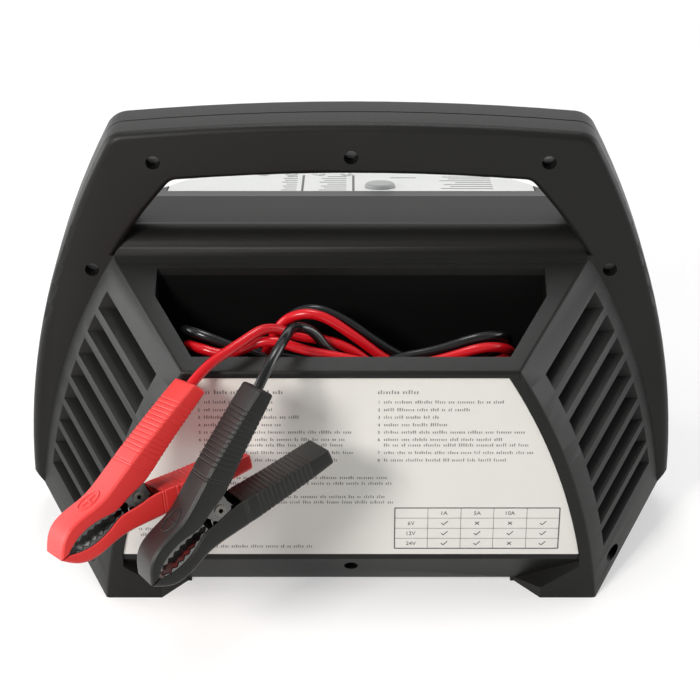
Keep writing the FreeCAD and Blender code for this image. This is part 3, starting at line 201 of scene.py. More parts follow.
def moulded(name, colour, lighter, rough, scale, bump, shine=0.5):
    # Moulded plastic or rubber: patches of tone, grain in the height and in the roughness
    material, tree, shader = principled(name, Specular_IOR_Level=shine)
    grain = tree.nodes.new("ShaderNodeGroup")
    grain.node_tree = grainGroup
    grain.inputs["Scale"].default_value = scale
    patches = rangeNode(tree, grain.outputs["Patches"], *noiseSpan, 0.0, 1.0)
    tree.links.new(mixColours(tree, patches, colour, lighter), shader.inputs["Base Color"])
    tree.links.new(rangeNode(tree, grain.outputs["Height"], *noiseSpan, *rough), shader.inputs["Roughness"])
    bumped(tree, shader, grain.outputs["Height"], bump, grainSpec["bumpDepth"])
    return material


def metal(name, colour, darker, rough, scale, stretch=streakSpec["stretch"], bump=0.05):
    # Metal with streaks along its drawn or ground direction, in tone, roughness and height
    material, tree, shader = principled(name, Metallic=1.0)
    streak = tree.nodes.new("ShaderNodeGroup")
    streak.node_tree = metalGroup
    streak.inputs["Scale"].default_value = scale
    streak.inputs["Stretch"].default_value = stretch
    part = rangeNode(tree, streak.outputs["Streaks"], *noiseSpan, 0.0, 1.0)
    tree.links.new(mixColours(tree, part, colour, darker), shader.inputs["Base Color"])
    tree.links.new(rangeNode(tree, streak.outputs["Streaks"], *noiseSpan, *rough), shader.inputs["Roughness"])
    bumped(tree, shader, streak.outputs["Height"], bump, streakSpec["bumpDepth"])
    return material


def clearPlastic(name, colour, rough):
    # Clear plastic or glass, with the grain in its roughness alone
    material, tree, shader = principled(name, Base_Color=(*colour, 1.0), Transmission_Weight=1.0,
                                        IOR=glassSpec["index"])
    grain = tree.nodes.new("ShaderNodeGroup")
    grain.node_tree = grainGroup
    grain.inputs["Scale"].default_value = glassSpec["grainScale"]
    uneven = rangeNode(tree, grain.outputs["Height"], *noiseSpan, rough, rough + glassSpec["unevenness"])
    tree.links.new(uneven, shader.inputs["Roughness"])
    return material


# Name, two colours, roughness from and to, scale of the grain; then height of the bumps and gloss for
# plastic, and stretch of the streaks and height of the bumps for metal
finishes = {
    "housing": moulded("housingPlastic", (0.0066, 0.0066, 0.0062), (0.0094, 0.0094, 0.0088),
                       (0.36, 0.48), 2600.0, 0.30, 0.22),
    # The tray's colour is darker than the housing's plastic: painted shade for the dark inside of the mouth
    "tray": moulded("trayPaintedShadePlastic", (0.0022, 0.0022, 0.0022), (0.003, 0.003, 0.003),
                    (0.6, 0.75), 2600.0, 0.2, 0.1),
    "grommets": moulded("grommetRubber", (0.010, 0.010, 0.010), (0.014, 0.014, 0.014),
                        (0.6, 0.8), 1800.0, 0.2, 0.3),
    "label": moulded("labelFilm", (0.74, 0.735, 0.70), (0.77, 0.765, 0.73),
                     (0.40, 0.48), 900.0, 0.03, 0.4),
    "panel": moulded("panelFilm", (0.72, 0.73, 0.71), (0.77, 0.78, 0.77),
                     (0.34, 0.42), 900.0, 0.03, 0.4),
    "switches": moulded("switchPlastic", (0.012, 0.012, 0.012), (0.018, 0.018, 0.018),
                        (0.35, 0.45), 1500.0, 0.1, 0.4),
    "rocker": moulded("rockerPlastic", (0.55, 0.02, 0.02), (0.62, 0.03, 0.03),
                      (0.18, 0.25), 700.0, 0.04),
    "button": moulded("buttonPlastic", (0.30, 0.31, 0.31), (0.36, 0.37, 0.37),
                      (0.35, 0.5), 1200.0, 0.1),
    "boards": moulded("solderMask", (0.02, 0.16, 0.06), (0.03, 0.22, 0.08),
                      (0.25, 0.4), 500.0, 0.1),
    "lamps": moulded("tintedLamp", (0.60, 0.10, 0.06), (0.70, 0.16, 0.10),
                     (0.1, 0.2), 500.0, 0.02),
    "bobbin": moulded("bobbinNylon", (0.55, 0.52, 0.45), (0.63, 0.60, 0.53),
                      (0.4, 0.5), 900.0, 0.1),
    "components": moulded("componentEpoxy", (0.02, 0.02, 0.022), (0.03, 0.03, 0.032),
                          (0.3, 0.45), 900.0, 0.1),
    "capacitor_can": moulded("capacitorSleeve", (0.02, 0.04, 0.16), (0.03, 0.06, 0.20),
                             (0.2, 0.3), 400.0, 0.03),
    "black_flex": moulded("blackSheath", (0.005, 0.005, 0.006), (0.007, 0.007, 0.008),
                          (0.20, 0.24), 300.0, 0.002, 0.45),
    "red_flex": moulded("redSheath", (0.48, 0.004, 0.009), (0.56, 0.006, 0.012),
                        (0.20, 0.24), 300.0, 0.002, 0.40),
    "red_grips": moulded("redGrip", (0.56, 0.020, 0.018), (0.62, 0.026, 0.023),
                         (0.42, 0.52), 1500.0, 0.10, 0.5),
    "black_grips": moulded("blackGrip", (0.011, 0.011, 0.0105), (0.015, 0.015, 0.0145),
                           (0.36, 0.46), 1500.0, 0.12, 0.30),
    "screws": metal("zincScrew", (0.20, 0.20, 0.20), (0.11, 0.11, 0.11),
                    (0.35, 0.5), 1500.0),
    "laminations": metal("coreSteel", (0.30, 0.30, 0.31), (0.18, 0.18, 0.19),
                         (0.4, 0.55), 3000.0, (1, 1, 0.02), 0.3),
    "windings": metal("enamelledWire", (0.65, 0.26, 0.08), (0.48, 0.17, 0.05),
                      (0.25, 0.35), 2400.0, (0.02, 0.02, 1), 0.4),
    "zinc": metal("zincSheet", (0.58, 0.58, 0.56), (0.48, 0.48, 0.47),
                  (0.3, 0.45), 300.0, (1, 1, 1)),
    "aluminium": metal("drawnAluminium", (0.70, 0.71, 0.72), (0.60, 0.61, 0.62),
                       (0.3, 0.42), 1500.0, (0.02, 1, 1)),
    "jaws": metal("platedJaw", (0.27, 0.265, 0.26), (0.22, 0.215, 0.21),
                  (0.14, 0.22), 500.0, (1, 1, 1), 0.008),
    "rivets": metal("platedRivet", (0.34, 0.32, 0.29), (0.27, 0.255, 0.23),
                    (0.14, 0.22), 500.0, (1, 1, 1), 0.008),
    "springs": metal("springWire", (0.40, 0.40, 0.41), (0.30, 0.30, 0.31),
                     (0.25, 0.35), 2500.0, (1, 1, 1), 0.02),
    "lenses": moulded("milkyLens", (0.70, 0.72, 0.71), (0.76, 0.78, 0.77),
                      (0.12, 0.2), 400.0, 0.02),
    "fuse_glass": clearPlastic("fuseGlass", (0.92, 0.95, 0.95), 0.02),
}
print("materials made:", len(finishes))

# Every node of the frame that stays takes its slot's finish
for name, node in nodes.items():
    node.data.materials.clear()
    node.data.materials.append(finishes[nodeSlot[name]])


# Rounds and distances in metres, angles in degrees
fineSpec = {"shellRound": 0.00035, "smallRound": 0.0002, "segments": 2, "mergeDistance": 2e-6,
            "edgeAngle": 26.0, "flatAngle": 0.5}
metalAngles = {"upper_jaw": 24.0, "lower_jaw": 24.0, "rivet": 35.0, "spring": 50.0}


def fineCopy(name, angle, bevel=0.0):
    # The node's own form, merged, with smooth shading on its curves and a small round on its edges
    mesh = nodes[name].data.copy()
    work = bmesh.new()
    work.from_mesh(mesh)
    bmesh.ops.remove_doubles(work, verts=work.verts, dist=fineSpec["mergeDistance"])
    bmesh.ops.dissolve_limit(work, angle_limit=math.radians(fineSpec["flatAngle"]),
                             verts=work.verts, edges=work.edges)
    work.to_mesh(mesh)
    work.free()
    mesh.shade_smooth()
    mesh.set_sharp_from_angle(angle=math.radians(angle))
    piece = bpy.data.objects.new(name + "Fine", mesh)
    bpy.context.scene.collection.objects.link(piece)
    if bevel:
        rounding = piece.modifiers.new("edgeRound", "BEVEL")
        rounding.width = bevel
        rounding.segments = fineSpec["segments"]
        rounding.limit_method = "ANGLE"
        rounding.angle_limit = math.radians(angle)
        rounding.harden_normals = True
    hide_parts(name)
    dress(piece, finishes[nodeSlot[name]], nodeBody[name])


for name in ("rear_shell", "front_shell"):
    fineCopy(name, fineSpec["edgeAngle"], fineSpec["shellRound"])
for name in ("cable_tray", "mode_button", "power_rocker", "rocker_body", "lead_grommet", "mains_gland"):
    fineCopy(name, fineSpec["edgeAngle"], fineSpec["smallRound"])
for colour in ("red", "black"):
    for name, angle in metalAngles.items():
        fineCopy(colour + "_" + name, angle)
print("housing and metal pieces smoothed")

# Leads: the same routes as the solids, as one curve each from the grommet to the clamp, in mm.
# The coil's corner is (x, share of the half depth), mirrored both ways.
leadSpec = {"radius": 2.0, "pitch": 4.5, "coilMiddle": -37.75, "coilHalf": (63.0, 17.6), "coilStart": 62.05,
            "coilRise": 18.15, "coilTurns": 1, "coilCorner": (44.0, 0.94), "coilEnd": 0.5,
            "grommetX": -79.1, "grommetY": -24.2, "grommetRun": 9.0,
            "leverTail": (-43.0, 18.25, 0.0), "tailDirection": (-5.5, 2.0, 0.0), "intoGrip": 6.0,
            "curveOrder": 3, "curveSteps": 8, "roundSteps": 5}
leadRise = {
    "red": [(-44, -21.2, 80.2), (0, -20.15, 81), (44, -21.2, 84), (62.5, -29, 92), (64, -44, 105.5),
            (52, -52.3, 112), (36, -54.8, 107.4), (18, -55.2, 103.3), (0, -55.1, 107.6), (-17, -55, 111),
            (-33, -54.2, 117), (-47, -53.2, 107.4), (-60, -50.5, 110.3), (-66, -40, 106), (-61, -29.5, 96),
            (-38, -26.5, 86), (-8, -26.5, 83), (18, -26.5, 82.5), (40, -26, 82.5), (45.7, -35.5, 87),
            (40, -45, 91.5), (27, -45, 94.5), (13.5, -44.3, 101)],
    "black": [(-44, -21.2, 84.7), (0, -20.15, 85.5), (44, -21.2, 88.5), (62, -28, 98), (62.5, -40.5, 110),
              (50, -48.3, 114), (33, -50.3, 108.4), (17, -50.8, 105.6), (5, -50.9, 98), (-9, -50, 95.5),
              (-23, -49.3, 99), (-35, -48.5, 105), (-47, -48.2, 109.5), (-60, -46.5, 114.5),
              (-66.5, -39, 112), (-64, -30, 105.5), (-50, -26.5, 97.5), (-24, -25.8, 91), (-2, -25.5, 87.6),
              (18, -25.5, 86.9), (34, -25.5, 87.1), (39.5, -32.7, 93.1), (34, -40, 98.8), (22, -39.8, 98.3)],
}
leadOut = {
    "red": [(2, -43.5, 110.8), (-13, -43, 122), (-26, -41, 118.5), (-32, -39.8, 106), (-37, -39.5, 93),
            (-33, -39.2, 79.5), (-18, -39, 71), (0, -39.3, 69.5), (13.5, -41, 75.5), (16.5, -44.5, 88),
            (9, -46.3, 99.5), (-1, -46.2, 107.8), (-11, -45.9, 111.3), (-21, -46.3, 112.6), (-32, -52, 121),
            (-42, -60.5, 118.2)],
    "black": [(10, -39.5, 106.5), (-3, -38.5, 116.5), (-16, -37.5, 121.5), (-27, -36, 114.5),
              (-33, -35, 100.5), (-30, -34.7, 86), (-17, -34.7, 76.5), (-1, -35, 75.5), (11, -37.3, 81.5),
              (10.3, -40.8, 93), (0, -45, 100), (-8.8, -50.5, 108.3), (-14.5, -51.3, 118.5),
              (-22.3, -57, 123.5), (-25.2, -73, 126.5)],
}
leadSleeve = {"red": 6.0, "black": 7.0}             # straight run out of the lever, mm
# Place of the rivet, direction of the nose and of the upper lever
clampPlace = {
    "red": ((-83.15, -99.15, 75.1), (-0.736, -0.549, -0.395), (-0.520, 0.086, 0.850)),
    "black": ((-51.19, -111.96, 78.16), (-0.666, -0.487, -0.565), (-0.649, 0.007, 0.760)),
}


def clampAxes(colour):
    # Place of the rivet and the clamp's own axes: nose, lever and rivet direction, made square to one another
    place, nose, lever = (np.array(v, float) for v in clampPlace[colour])
    x = nose / np.linalg.norm(nose)
    z = np.cross(x, lever)
    z /= np.linalg.norm(z)
    return place, np.array([x, np.cross(z, x), z])


def fromClamp(colour, points):
    # Points along the clamp's own axes in mm become points of the object in metres
    place, axes = clampAxes(colour)
    return inMetres(place + np.asarray(points, float) @ axes)


def coilPoints(rise):
    # Ten corners a turn on a flattened round, climbing evenly
    spec = leadSpec
    width, depth = spec["coilHalf"]
    corner, part = spec["coilCorner"]
    end = spec["coilEnd"]
    turn = [(-corner, part), (0, 1), (corner, part), (width, end), (width, -end),
            (corner, -part), (0, -1), (-corner, -part), (-width, -end), (-width, end)]
    base = spec["coilStart"] + rise
    points = [(spec["grommetX"] + x, spec["grommetY"], base) for x in (0.0, spec["grommetRun"])]
    for k in range(len(turn) * spec["coilTurns"]):
        x, share = turn[k % len(turn)]
        points.append((x, spec["coilMiddle"] + depth * share, base + spec["coilRise"] * k / len(turn)))
    return points


def leadRoute(colour):
    # Coil, climb and way out in turn, then a straight line through the middle of the lever's tail
    rise = leadSpec["pitch"] if colour == "black" else 0.0
    route = inMetres(coilPoints(rise) + leadRise[colour] + leadOut[colour])
    end = np.array(leadSpec["leverTail"])
    leave = np.array(leadSpec["tailDirection"])
    leave /= np.linalg.norm(leave)
    tail = fromClamp(colour, [end + leave * leadSleeve[colour], end - leave * leadSpec["intoGrip"]])
    return np.vstack([route, tail])


def addLead(colour):
    # A round section carried along a smooth curve of third order near the route's points
    curve = bpy.data.curves.new(colour + "Lead", "CURVE")
    curve.dimensions = "3D"
    route = leadRoute(colour)
    spline = curve.splines.new("NURBS")
    spline.points.add(len(route) - 1)
    spline.points.foreach_set("co", np.column_stack([route, np.ones(len(route))]).ravel())
    spline.order_u = leadSpec["curveOrder"]
    spline.use_endpoint_u = True
    spline.resolution_u = leadSpec["curveSteps"]
    curve.bevel_depth = leadSpec["radius"] * mm
    curve.bevel_resolution = leadSpec["roundSteps"]
    curve.use_fill_caps = True
    piece = bpy.data.objects.new(colour + "Lead", curve)
    bpy.context.scene.collection.objects.link(piece)
    curve.materials.append(finishes[colour + "_flex"])
    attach(piece, "charger")
    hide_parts(colour + "_lead", colour + "_lead_loops")
    return piece, route[0]


leads = {colour: addLead(colour) for colour in ("red", "black")}
print("leads laid")

# Clamp grips, in mm from the rivet: outer and inner edge from tail to nose, and the edge of the web
gripSpec = {
    "outer": [(-42, 21), (-32, 19), (-20, 16.3), (-8, 13.4), (5, 9.8), (14, 8), (24, 8), (31, 6.3), (35, 2.8),
              (37, 0.2)],
    "inner": [(-44, 15.5), (-33, 12), (-22, 8.6), (-12, 5.2), (-5, 3.2), (3, 2.4), (10, 1.5), (15, 2.6),
              (22, 3.4), (28, 2.6), (33.4, 0.35)],
    "web": [(-8, 9.3), (-3, 9.3), (5, 7.8), (14, 6.1), (24, 6.1), (30, 4.6), (33, 2.4), (34.2, 0.3)],
    "halfWidth": 9.9, "noseHalf": 9.85, "widenOver": 6.0, "crease": -7.2, "secondCrease": -6.2,
    "outerRound": 1.5, "innerRound": 0.7, "roundLimit": 0.8, "tailRound": 0.9, "tailLimit": 0.6,
    "grooves": 13, "groovePitch": 1.85, "grooveFirst": -34.0, "grooveDepth": 0.24, "grooveHalf": 0.2,
    "grooveInside": 0.8, "pocketHalf": 9.2, "pocketBack": -8.0, "pocketTip": 34.5, "pocketDrop": 4.0,
    "pocketGap": 0.3, "stations": 460, "around": 8, "sharpAngle": 40.0,
}


def splineThrough(points, count):
    # Smooth curve through the points: a cubic in the running chord length, with free ends
    points = np.array(points, float)
    run = np.r_[0.0, np.cumsum(np.linalg.norm(np.diff(points, axis=0), axis=1))]
    step = np.diff(run)
    n = len(points)
    matrix = np.eye(n)
    right = np.zeros((n, points.shape[1]))
    for i in range(1, n - 1):
        matrix[i, i - 1:i + 2] = step[i - 1], 2 * (step[i - 1] + step[i]), step[i]
        right[i] = 6 * ((points[i + 1] - points[i]) / step[i] - (points[i] - points[i - 1]) / step[i - 1])
    bend = np.linalg.solve(matrix, right)
    at = np.linspace(0.0, run[-1], count)
    k = np.clip(np.searchsorted(run, at, side="right") - 1, 0, n - 2)
    a = ((run[k + 1] - at) / step[k])[:, None]
    b = ((at - run[k]) / step[k])[:, None]
    h = step[k][:, None] ** 2 / 6
    return a * points[k] + b * points[k + 1] + h * ((a ** 3 - a) * bend[k] + (b ** 3 - b) * bend[k + 1])


def tubeFaces(rings, around):
    # Quads between neighbouring rings, and one fan at each closed end; vertices are rings*around + two poles
    i, j = np.meshgrid(np.arange(rings - 1), np.arange(around), indexing="ij")
    j2 = (j + 1) % around
    quads = np.stack([i * around + j, (i + 1) * around + j, (i + 1) * around + j2, i * around + j2], -1)
    k = np.arange(around)
    first = np.stack([np.full(around, rings * around), k, (k + 1) % around], -1)
    base = (rings - 1) * around
    last = np.stack([np.full(around, rings * around + 1), base + (k + 1) % around, base + k], -1)
    return [tuple(q) for q in quads.reshape(-1, 4)] + [tuple(t) for t in np.vstack([first, last])]


def gripVertices(side):
    # A rounded box section carried from tail to nose between the inner and the outer edge curve.
    # Each groove takes a bell curve from both half sizes; the section shrinks on a quarter round at the tail.
    spec = gripSpec
    count = spec["stations"]
    outer = splineThrough(spec["outer"], count)
    inner = splineThrough(spec["inner"], count)
    middle = (outer + inner) / 2
    half = np.linalg.norm(outer - inner, axis=1) / 2
    up = (outer - inner) / (2 * half[:, None])
    x = middle[:, 0]
    swell = 0.5 * (1 + np.tanh((x - spec["crease"]) / spec["widenOver"]))
    width = spec["halfWidth"] + (spec["noseHalf"] - spec["halfWidth"]) * swell
    at = spec["grooveFirst"] + spec["groovePitch"] * np.arange(spec["grooves"])
    at = np.r_[at, spec["crease"], spec["secondCrease"]]
    lift = -spec["grooveDepth"] * np.exp(-((x[:, None] - at) / spec["grooveHalf"]) ** 2).sum(axis=1)
    # Quarter round at the tail
    run = np.r_[0.0, np.cumsum(np.linalg.norm(np.diff(middle, axis=0), axis=1))]
    tail = np.clip(run / spec["tailRound"], 0, 1)
    shrink = spec["tailRound"] * (1 - np.sqrt(1 - (1 - tail) ** 2))
    width = width + lift - shrink
    deep = half + lift * spec["grooveInside"] - np.minimum(shrink, half * spec["tailLimit"])
    # Section: four quarter arcs, larger on the outside
    quarter = np.linspace(0, math.pi / 2, spec["around"])
    angles = np.concatenate([quarter + k * math.pi / 2 for k in range(4)])
    signA = np.repeat([1, -1, -1, 1], spec["around"])
    signB = np.repeat([1, 1, -1, -1], spec["around"])
    radius = np.where(signB > 0, spec["outerRound"], spec["innerRound"])[None, :]
    radius = np.minimum(radius, np.minimum(width, deep)[:, None] * spec["roundLimit"])
    a = signA[None, :] * (width[:, None] - radius) + radius * np.cos(angles)[None, :]
    b = signB[None, :] * (deep[:, None] - radius) + radius * np.sin(angles)[None, :]
    xy = middle[:, None, :] + b[:, :, None] * up[:, None, :]
    rings = np.concatenate([xy, a[:, :, None]], axis=2)
    poles = np.array([[*middle[0], 0.0], [*middle[-1], 0.0]])
    vertices = np.vstack([rings.reshape(-1, 3), poles])
    vertices[:, 1] *= side
    return vertices, tubeFaces(count, 4 * spec["around"])


def cutAway(piece, cutter):
    # Takes the cutter's solid out of the piece and throws the cutter away
    take = piece.modifiers.new("pocket", "BOOLEAN")
    take.operation = "DIFFERENCE"
    take.solver = "EXACT"
    take.object = cutter
    bpy.context.view_layer.update()
    made = bpy.data.meshes.new_from_object(piece.evaluated_get(bpy.context.evaluated_depsgraph_get()))
    piece.modifiers.clear()
    piece.data = made
    bpy.data.objects.remove(cutter)


newMeshMerge = 1e-6     # m, points nearer than this are one


def recalculated(piece, angle):
    # Doubles merged, faces turned outwards, curves smooth up to the angle
    work = bmesh.new()
    work.from_mesh(piece.data)
    bmesh.ops.remove_doubles(work, verts=work.verts, dist=newMeshMerge)
    bmesh.ops.recalc_face_normals(work, faces=work.faces)
    work.to_mesh(piece.data)
    work.free()
    piece.data.shade_smooth()
    piece.data.set_sharp_from_angle(angle=math.radians(angle))


def addGrip(colour, which, side):
    # The moulded lever over the metal: its section carried along, less the pocket
    spec = gripSpec
    vertices, faces = gripVertices(side)
    piece = addMesh(colour + which.title() + "GripFine", fromClamp(colour, vertices), faces)
    recalculated(piece, spec["sharpAngle"])
    # Pocket under the nose for the metal: the web's edge with a gap above it, closed below
    tip, drop = spec["pocketTip"], spec["pocketDrop"]
    roof = np.array([(x, y + spec["pocketGap"]) for x, y in spec["web"]])
    roof[-1] = (tip, spec["pocketGap"])
    outline = np.vstack([roof, [(tip, -drop), (spec["pocketBack"], -drop)]])
    n = len(outline)
    lower = np.column_stack([outline, np.full(n, -spec["pocketHalf"])])
    upper = np.column_stack([outline, np.full(n, spec["pocketHalf"])])
    block = np.vstack([lower, upper])
    block[:, 1] *= side
    sides = [(k, (k + 1) % n, n + (k + 1) % n, n + k) for k in range(n)]
    ends = [tuple(range(n))[::-1], tuple(range(n, 2 * n))]
    cutter = addMesh("pocketCutter", fromClamp(colour, block), sides + ends)
    recalculated(cutter, spec["sharpAngle"])
    cutAway(piece, cutter)
    recalculated(piece, spec["sharpAngle"])
    node = colour + "_" + which + "_grip"
    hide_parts(node)
    dress(piece, finishes[colour + "_grips"], nodeBody[node])


for colour in ("red", "black"):
    for which, side in (("upper", 1.0), ("lower", -1.0)):
        addGrip(colour, which, side)

# Raised polarity signs on the noses of the upper levers, in mm
signSpec = {"at": 14.5, "ringRadius": 5.0, "tube": 0.40, "bar": 3.4, "barHalf": 0.60, "barThick": 0.75,
            "barSquare": 0.25, "barTrim": 0.04, "ringSteps": 48, "ringAround": 8, "barSteps": 16,
            "barAround": 12, "edgeSamples": 200, "sharpAngle": 50.0}


def onNose(colour, u, v, out):
    # u runs on towards the tip along the outer edge curve, v across, out away from the lever
    outer = splineThrough(gripSpec["outer"], signSpec["edgeSamples"])
    x = signSpec["at"] + u
    return fromClamp(colour, np.column_stack([x, np.interp(x, outer[:, 0], outer[:, 1]) + out, v]))


def ringGrid(radius, tube, steps, around):
    # A ring: a small circle carried round a large one, both closed
    i, j = np.meshgrid(np.arange(steps), np.arange(around), indexing="ij")
    a, b = i * 2 * math.pi / steps, j * 2 * math.pi / around
    reach = radius + tube * np.cos(b)
    i2, j2 = (i + 1) % steps, (j + 1) % around
    faces = np.stack([i * around + j, i2 * around + j, i2 * around + j2, i * around + j2], -1).reshape(-1, 4)
    return (reach * np.cos(a)).ravel(), (reach * np.sin(a)).ravel(), (tube * np.sin(b)).ravel(), faces


def barGrid(length, half, across):
    # A bar with a rounded back: an ellipsoid squared off along its length
    steps, around = signSpec["barSteps"], signSpec["barAround"]
    turn = np.linspace(signSpec["barTrim"], math.pi - signSpec["barTrim"], steps + 1)
    a, b = np.meshgrid(turn, np.arange(around) * 2 * math.pi / around, indexing="ij")
    along = length * np.cos(a)
    thick = half * np.sin(a) ** signSpec["barSquare"]
    u, v = (thick * np.cos(b), along) if across else (along, thick * np.cos(b))
    i, j = np.meshgrid(np.arange(steps), np.arange(around), indexing="ij")
    j2 = (j + 1) % around
    faces = np.stack([i * around + j, (i + 1) * around + j, (i + 1) * around + j2, i * around + j2], -1)
    ends = [tuple(range(around)), tuple(range(steps * around, (steps + 1) * around))]
    out = thick * np.sin(b) * signSpec["barThick"]
    return u.ravel(), v.ravel(), out.ravel(), [tuple(f) for f in faces.reshape(-1, 4)] + ends


def addSign(colour):
    # A ring with a bar across it, and a second bar along it on the red clamp
    spec = signSpec
    parts = [ringGrid(spec["ringRadius"], spec["tube"], spec["ringSteps"], spec["ringAround"])]
    parts.append(barGrid(spec["bar"], spec["barHalf"], True))
    if colour == "red":
        parts.append(barGrid(spec["bar"], spec["barHalf"], False))
    vertices, faces = [], []
    for u, v, out, quads in parts:
        first = sum(len(group) for group in vertices)
        vertices.append(onNose(colour, u, v, out))
        faces += [tuple(int(k) + first for k in quad) for quad in quads]
    piece = addMesh(colour + "PolaritySign", np.vstack(vertices), faces)
    recalculated(piece, spec["sharpAngle"])
    node = colour + "_upper_grip"
    dress(piece, finishes[colour + "_grips"], nodeBody[node])


for colour in ("red", "black"):
    addSign(colour)
print("grips formed")

# Print on the rear label, in mm: rows of short marks, a table, figures
printSpec = {"labelFace": -63.7, "thickness": 0.06, "figureCurve": 4, "figureSharp": 30.0}
boxFaces = np.array([(3, 2, 1, 0), (4, 5, 6, 7), (0, 1, 5, 4), (1, 2, 6, 5), (2, 3, 7, 6), (3, 0, 4, 7)])


def printedBoxes(name, rectangles, place):
    # Each rectangle (x, y, width, height) becomes a thin closed box; place maps (x, y, out) to mm
    r = np.array(rectangles, float)
    corners = np.array([(a, b, c) for c in (0, 1) for a, b in ((0, 0), (1, 0), (1, 1), (0, 1))], float)
    x = r[:, None, 0] + corners[None, :, 0] * r[:, None, 2]
    y = r[:, None, 1] + corners[None, :, 1] * r[:, None, 3]
    z = np.broadcast_to(corners[None, :, 2] * printSpec["thickness"], x.shape)
    points = place(x.ravel(), y.ravel(), z.ravel())
    faces = (boxFaces[None] + 8 * np.arange(len(r))[:, None, None]).reshape(-1, 4)
    return addMesh(name, inMetres(points), faces)


def onLabel(x, y, out):
    # Label coordinates: x to the right, y up, out towards the rear
    return np.column_stack([x, printSpec["labelFace"] - out, y])


printRandom = np.random.default_rng(7)
markSpec = {"low": 0.95, "tall": 1.4, "tallShare": 0.28, "stroke": 0.42, "uneven": (0.8, 1.25),
            "step": 0.86, "group": (2, 9), "gap": 0.9, "least": 2.0, "headScale": 1.25}


def markLine(x, z, end, scale=1.0):
    # Short upright marks of two heights from x to end, one step apart in groups of two to eight
    spec = markSpec
    rows = []
    while x < end - spec["least"] * scale:
        for k in range(int(printRandom.integers(*spec["group"]))):
            if x > end:
                break
            height = (spec["tall"] if printRandom.random() < spec["tallShare"] else spec["low"]) * scale
            width = spec["stroke"] * scale * float(printRandom.uniform(*spec["uneven"]))
            rows.append((x, z - spec["low"] * scale / 2, width, height))
            x += spec["step"] * scale
        x += spec["gap"] * scale
    return rows


# Each line is (left, height of its middle, right) in mm on the label
headLines = [(10.4, 97.6, 29.8), (-59.5, 97.6, -24.4)]
linesRight = [(12.8, 93.2, 58.8), (12.8, 89.7, 47.7), (12.8, 86.3, 37.3), (12.9, 82.8, 38.1),
              (12.9, 79.4, 67.4), (12.9, 76.0, 59.3), (12.9, 73.4, 70.9), (13.0, 69.9, 71.5),
              (13.0, 66.4, 63.9)]
linesLeft = [(-57.0, 93.2, -28.9), (-57.1, 89.7, -29.6), (-57.2, 86.3, -17.8), (-57.4, 82.8, -24.9),
             (-57.5, 79.4, 0.1), (-57.6, 76.0, -2.5), (-57.7, 73.4, -2.2), (-57.8, 69.9, 1.1),
             (-57.9, 66.4, -4.4)]
linesLow = [(-66.0, 58.1, 16.9), (-66.0, 55.4, 16.2), (-66.0, 49.0, 16.5), (-66.0, 46.4, 18.4),
            (-59.5, 24.9, -15.5), (-85.3, 33.5, -66.0), (-84.6, 30.6, -68.0)]
markRows = []
for start, z, end in headLines:
    markRows += markLine(start, z, end, markSpec["headScale"])
for start, z, end in linesRight + linesLeft + linesLow:
    markRows += markLine(start, z, end)
paleInk = moulded("paleInk", (0.23, 0.23, 0.225), (0.27, 0.27, 0.265), (0.4, 0.5), 900.0, 0.02, 0.3)
darkInk = moulded("printInk", (0.055, 0.055, 0.055), (0.075, 0.075, 0.075), (0.4, 0.5), 900.0, 0.02, 0.3)
dress(printedBoxes("labelRules", markRows, onLabel), paleInk, "charger")

# Table: five columns and four rows. T is a tick and X a cross, each two strokes (x0, z0, x1, z1) from
# the middle of its cell.
tableSpec = {"left": 17.55, "top": 43.75, "columns": (13.25, 13.25, 13.15, 13.3, 13.1), "rows": 4,
             "row": 4.93, "rule": 0.16, "frame": 0.45, "digits": 2.5, "stroke": 0.34,
             "heads": ("1A", "5A", "10A"), "sides": ("6V", "12V", "24V"), "marks": ("TXXT", "TTTT", "TTXT"),
             "T": ((-1.1, 0.1, -0.3, -0.8), (-0.3, -0.8, 1.4, 1.0)),
             "X": ((-0.8, -0.7, 0.8, 0.7), (-0.8, 0.7, 0.8, -0.7))}


def tableRules():
    # Level rules below one another, then upright ones, the outer ones heavier
    spec = tableSpec
    width = sum(spec["columns"])
    height = spec["rows"] * spec["row"]
    rows = []
    for k in range(spec["rows"] + 1):
        rule = spec["frame"] if k in (0, spec["rows"]) else spec["rule"]
        rows.append((spec["left"], spec["top"] - k * spec["row"] - rule / 2, width, rule))
    x = spec["left"]
    for k, step in enumerate((0.0,) + spec["columns"]):
        x += step
        rule = spec["frame"] if k in (0, len(spec["columns"])) else spec["rule"]
        rows.append((x - rule / 2, spec["top"] - height, rule, height))
    return rows


dress(printedBoxes("labelTable", tableRules(), onLabel), darkInk, "charger")


def figureMesh(figure, size):
    # Points (x, y, out) and faces of a figure, centred on its width and height
    curve = bpy.data.curves.new("figure", "FONT")
    curve.body = figure
    curve.size = size
    curve.extrude = printSpec["thickness"] / 2
    curve.resolution_u = printSpec["figureCurve"]
    holder = bpy.data.objects.new("figure", curve)
    bpy.context.scene.collection.objects.link(holder)
    bpy.context.view_layer.update()
    mesh = bpy.data.meshes.new_from_object(holder.evaluated_get(bpy.context.evaluated_depsgraph_get()))
    points = np.empty(len(mesh.vertices) * 3)
    mesh.vertices.foreach_get("co", points)
    points = points.reshape(-1, 3)
    faces = [tuple(face.vertices) for face in mesh.polygons]
    bpy.data.objects.remove(holder)
    bpy.data.meshes.remove(mesh)
    middle = (points.min(axis=0) + points.max(axis=0)) / 2
    points = points - [middle[0], middle[1], points[:, 2].min()]
    return points, faces


